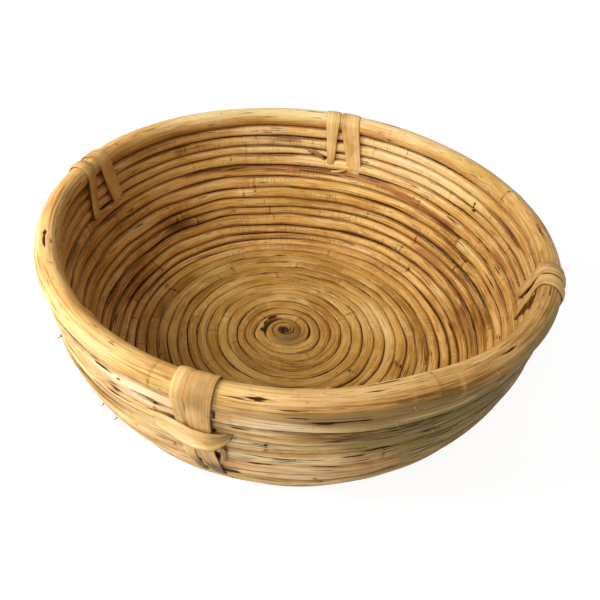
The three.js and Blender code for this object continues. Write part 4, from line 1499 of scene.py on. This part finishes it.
def add_lashings():
    lashings = {"front": front_straps(), "right": [], "back": [], "left": []}
    seed = FIRST_LOOP_SEED
    for name, loops in LOOPS.items():
        for *places, lighter in loops:
            lashings[name].append(strap(loop_places(*places), seed, lighter=lighter))
            seed += 1
    lashings["back"].append(strap(laid(BACK_TAIL, INSIDE), 14))
    lashings["back"].append(strap(laid(SPLINTER, INSIDE), 15, lighter=-0.1))
    lashings["left"].append(strap(laid(FOLDED_FOOT, INSIDE), 11))
    material = peel_material()
    for name, straps in lashings.items():
        add_parts("lashing_" + name, straps, material, ["lashing_" + name])


# Nails: the ones between the courses are hidden, and the heads of those in the rim show
NAIL_RING = 14
RIM_NAIL_HEADS = {
    "rim_nail_left": (45, 233),
    "rim_nail_front": (259, 399),
    "rim_nail_splice": (505, 352),
}
NAIL_SINK = 1.3
RIM_NAIL_LENGTH = 24
BEND_SHARE = 0.75
HEAD_SHARE = 0.7
TIP_SHARE = -0.2
STEEL_DARK = colour(120, 116, 110)
STEEL_LIGHT = colour(190, 188, 184)


def steel_material():
    graph = material_graph("steel")
    source = graph.node("TexCoord", {})["Object"]
    speckle = graph.noise(source, detail=3, scale=900)
    graph.set("Base Color", graph.ramp(speckle, [(0.3, STEEL_DARK), (0.7, STEEL_LIGHT)]))
    graph.set("Metallic", 1)
    graph.set("Roughness", graph.span(speckle, 0.3, 0.7, 0.35, 0.55))
    return graph.owner


# Rings round the line from a head to a tip, each with its radius and its depth below the head
def turned_rings(head, tip, outline):
    down = unit(tip - head)
    right = unit(np.cross(down, [0.3, 0.5, 0.81]))
    front = np.cross(down, right)
    angle = np.arange(NAIL_RING) / NAIL_RING * 2 * math.pi
    circle = right * np.cos(angle)[:, None] + front * np.sin(angle)[:, None]
    points = np.concatenate([head + down * depth + circle * radius for radius, depth in outline])
    around = np.broadcast_to(angle * NAIL_DIAMETER / 2, (len(outline), NAIL_RING))
    faces, uvs = open_skin(around, np.array([depth for radius, depth in outline]))
    return points, faces, uvs


def add_nail(name, head, tip, material):
    length = np.linalg.norm(tip - head)
    shank = NAIL_DIAMETER / 2
    top = NAIL_HEAD_DIAMETER / 2
    outline = [(top * 0.4, -0.12), (top * 0.9, 0), (top, 0.25), (shank, NAIL_HEAD_DEPTH)]
    outline += [(shank, length - NAIL_POINT), (0.12, length)]
    points, faces, uvs = turned_rings(head, tip, outline)
    add_piece(name, points, faces, uvs, {}, material, [name])


# The cane turn whose middle lies nearest to a point
def nearest_turn(point):
    turn = np.arange(0, turns * SAMPLES_PER_TURN) / SAMPLES_PER_TURN
    middle = course_frames(turn)[0]
    return turn[np.argmin(np.linalg.norm(middle - point, axis=1))]


# A point in the cane, so many half widths up from its middle
def point_in_course(turn, share):
    middle, side, outward, half_width, low_reach, high_reach = course_frames(np.array([turn]))
    return (middle + side * half_width[:, None] * share)[0]


# The head and the tip of a nail through three courses, moved to where the wall bends between them
def nail_line(name):
    low, high = np.array(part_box(name)) / MILLIMETRE
    turn = nearest_turn((low + high) / 2)
    head = point_in_course(turn + 1, HEAD_SHARE)
    tip = point_in_course(turn - 1, TIP_SHARE)
    down = unit(tip - head)
    off = point_in_course(turn, 0) - head
    bend = off - down * np.dot(off, down)
    return head + bend * BEND_SHARE, tip + bend * BEND_SHARE


def add_nails():
    steel = steel_material()
    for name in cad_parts:
        if name in RIM_NAIL_HEADS:
            about, azimuth = photo_place(ON_RIM, RIM_NAIL_HEADS[name])
            head = rim_point(np.radians(azimuth), np.radians(about), -NAIL_SINK)[0]
            top = rim_point(np.radians(azimuth), np.radians(90.0))[0]
            add_nail(name, head, top - np.array([0, 0, RIM_NAIL_LENGTH]), steel)
        elif "nail" in name:
            add_nail(name, *nail_line(name), steel)
    add_nail_points(steel)


# Points of nails that came out through the wall at the left
NAIL_POINTS = [(105, 403), (118, 416), (63, 335)]
POINT_DEPTH = 1.2
POINT_LENGTH = 3.4
POINT_OUTLINE = [(0.75, 0), (0.72, POINT_LENGTH * 0.55), (0.3, POINT_LENGTH)]


def add_nail_points(steel):
    parts = []
    for x, y in NAIL_POINTS:
        point, outward, width = at_pixel(OUTSIDE, x, y, -POINT_DEPTH, 0)
        parts.append(turned_rings(point, point + outward, POINT_OUTLINE) + ({},))
    add_parts("nail_points", parts, steel, [])


# Loose fibres that stand off the rim and the wall: the pixels of both ends, and their height
FIBRES = {
    ON_RIM: [
        (322, 384, 361, 402, 1.6), (325, 380, 332, 389, 1), (246, 384, 250, 392, 0.8),
        (287, 398, 300, 396, 0.7), (90, 303, 101, 314, 0.1), (462, 381, 466, 397, 0.6),
        (414, 406, 416, 412, 0.5), (497, 371, 499, 377, 0.5),
    ],
    OUTSIDE: [
        (432, 430, 434, 433, 0.4), (395, 422, 399, 427, 0.6), (309, 412, 312, 419, 0.5),
        (240, 455, 249, 461, 1.2),
    ],
    INSIDE: [(455, 300, 462, 313, 0.9), (470, 282, 476, 290, 0.9)],
}
FIBRE_RADIUS = 0.17
FIBRE_THINNING = 0.6
FIBRE_DEPTH = 0.5
FIBRE_END_SHARE = 0.6
FIBRE_STEPS = 10
FIBRE_GRAIN_LENGTH = 20
FIBRE_SIDES = 5
FIBRE_DARK = colour(196, 152, 92)
FIBRE_LIGHT = colour(236, 208, 154)


def fibre_material():
    graph = material_graph("fibre")
    shade = graph.ramp(graph.grain(0.5, 6, 0.4), [(0.3, FIBRE_DARK), (0.7, FIBRE_LIGHT)])
    graph.set("Base Color", shade)
    graph.set("Roughness", 0.6)
    return graph.owner


def fibre(surface, x, y, end_x, end_y, height):
    angle = np.arange(FIBRE_SIDES) / FIBRE_SIDES * 2 * math.pi
    share = np.linspace(0, 1, FIBRE_STEPS)
    radius = FIBRE_RADIUS * (1 - FIBRE_THINNING * share)
    around = np.broadcast_to(angle * FIBRE_RADIUS, (FIBRE_STEPS, FIBRE_SIDES))
    start, outward, width = at_pixel(surface, x, y, -FIBRE_DEPTH, 0)
    stop = at_pixel(surface, end_x, end_y, height * FIBRE_END_SHARE, 0)[0]
    arch = height * np.sin(share * math.pi) ** 0.7
    line = start + (stop - start) * share[:, None] + outward * arch[:, None]
    right = unit(np.cross(stop - start, outward))
    ring = right * np.cos(angle)[:, None] + outward * np.sin(angle)[:, None]
    points = line[:, None, :] + ring[None, :, :] * radius[:, None, None]
    return points.reshape(-1, 3), *open_skin(around, share * FIBRE_GRAIN_LENGTH), {}


def add_fibres():
    parts = [fibre(surface, *row) for surface, rows in FIBRES.items() for row in rows]
    add_parts("loose_fibres", parts, fibre_material(), [])


bpy.context.scene.view_settings.view_transform = "Standard"
add_camera()
add_world()
add_lamp("key", "AREA", *KEY_LAMP)
add_lamp("fill", "SUN", *FILL_LAMP)
add_floor()
add_canes()
add_rim()
add_lashings()
add_nails()
add_fibres()
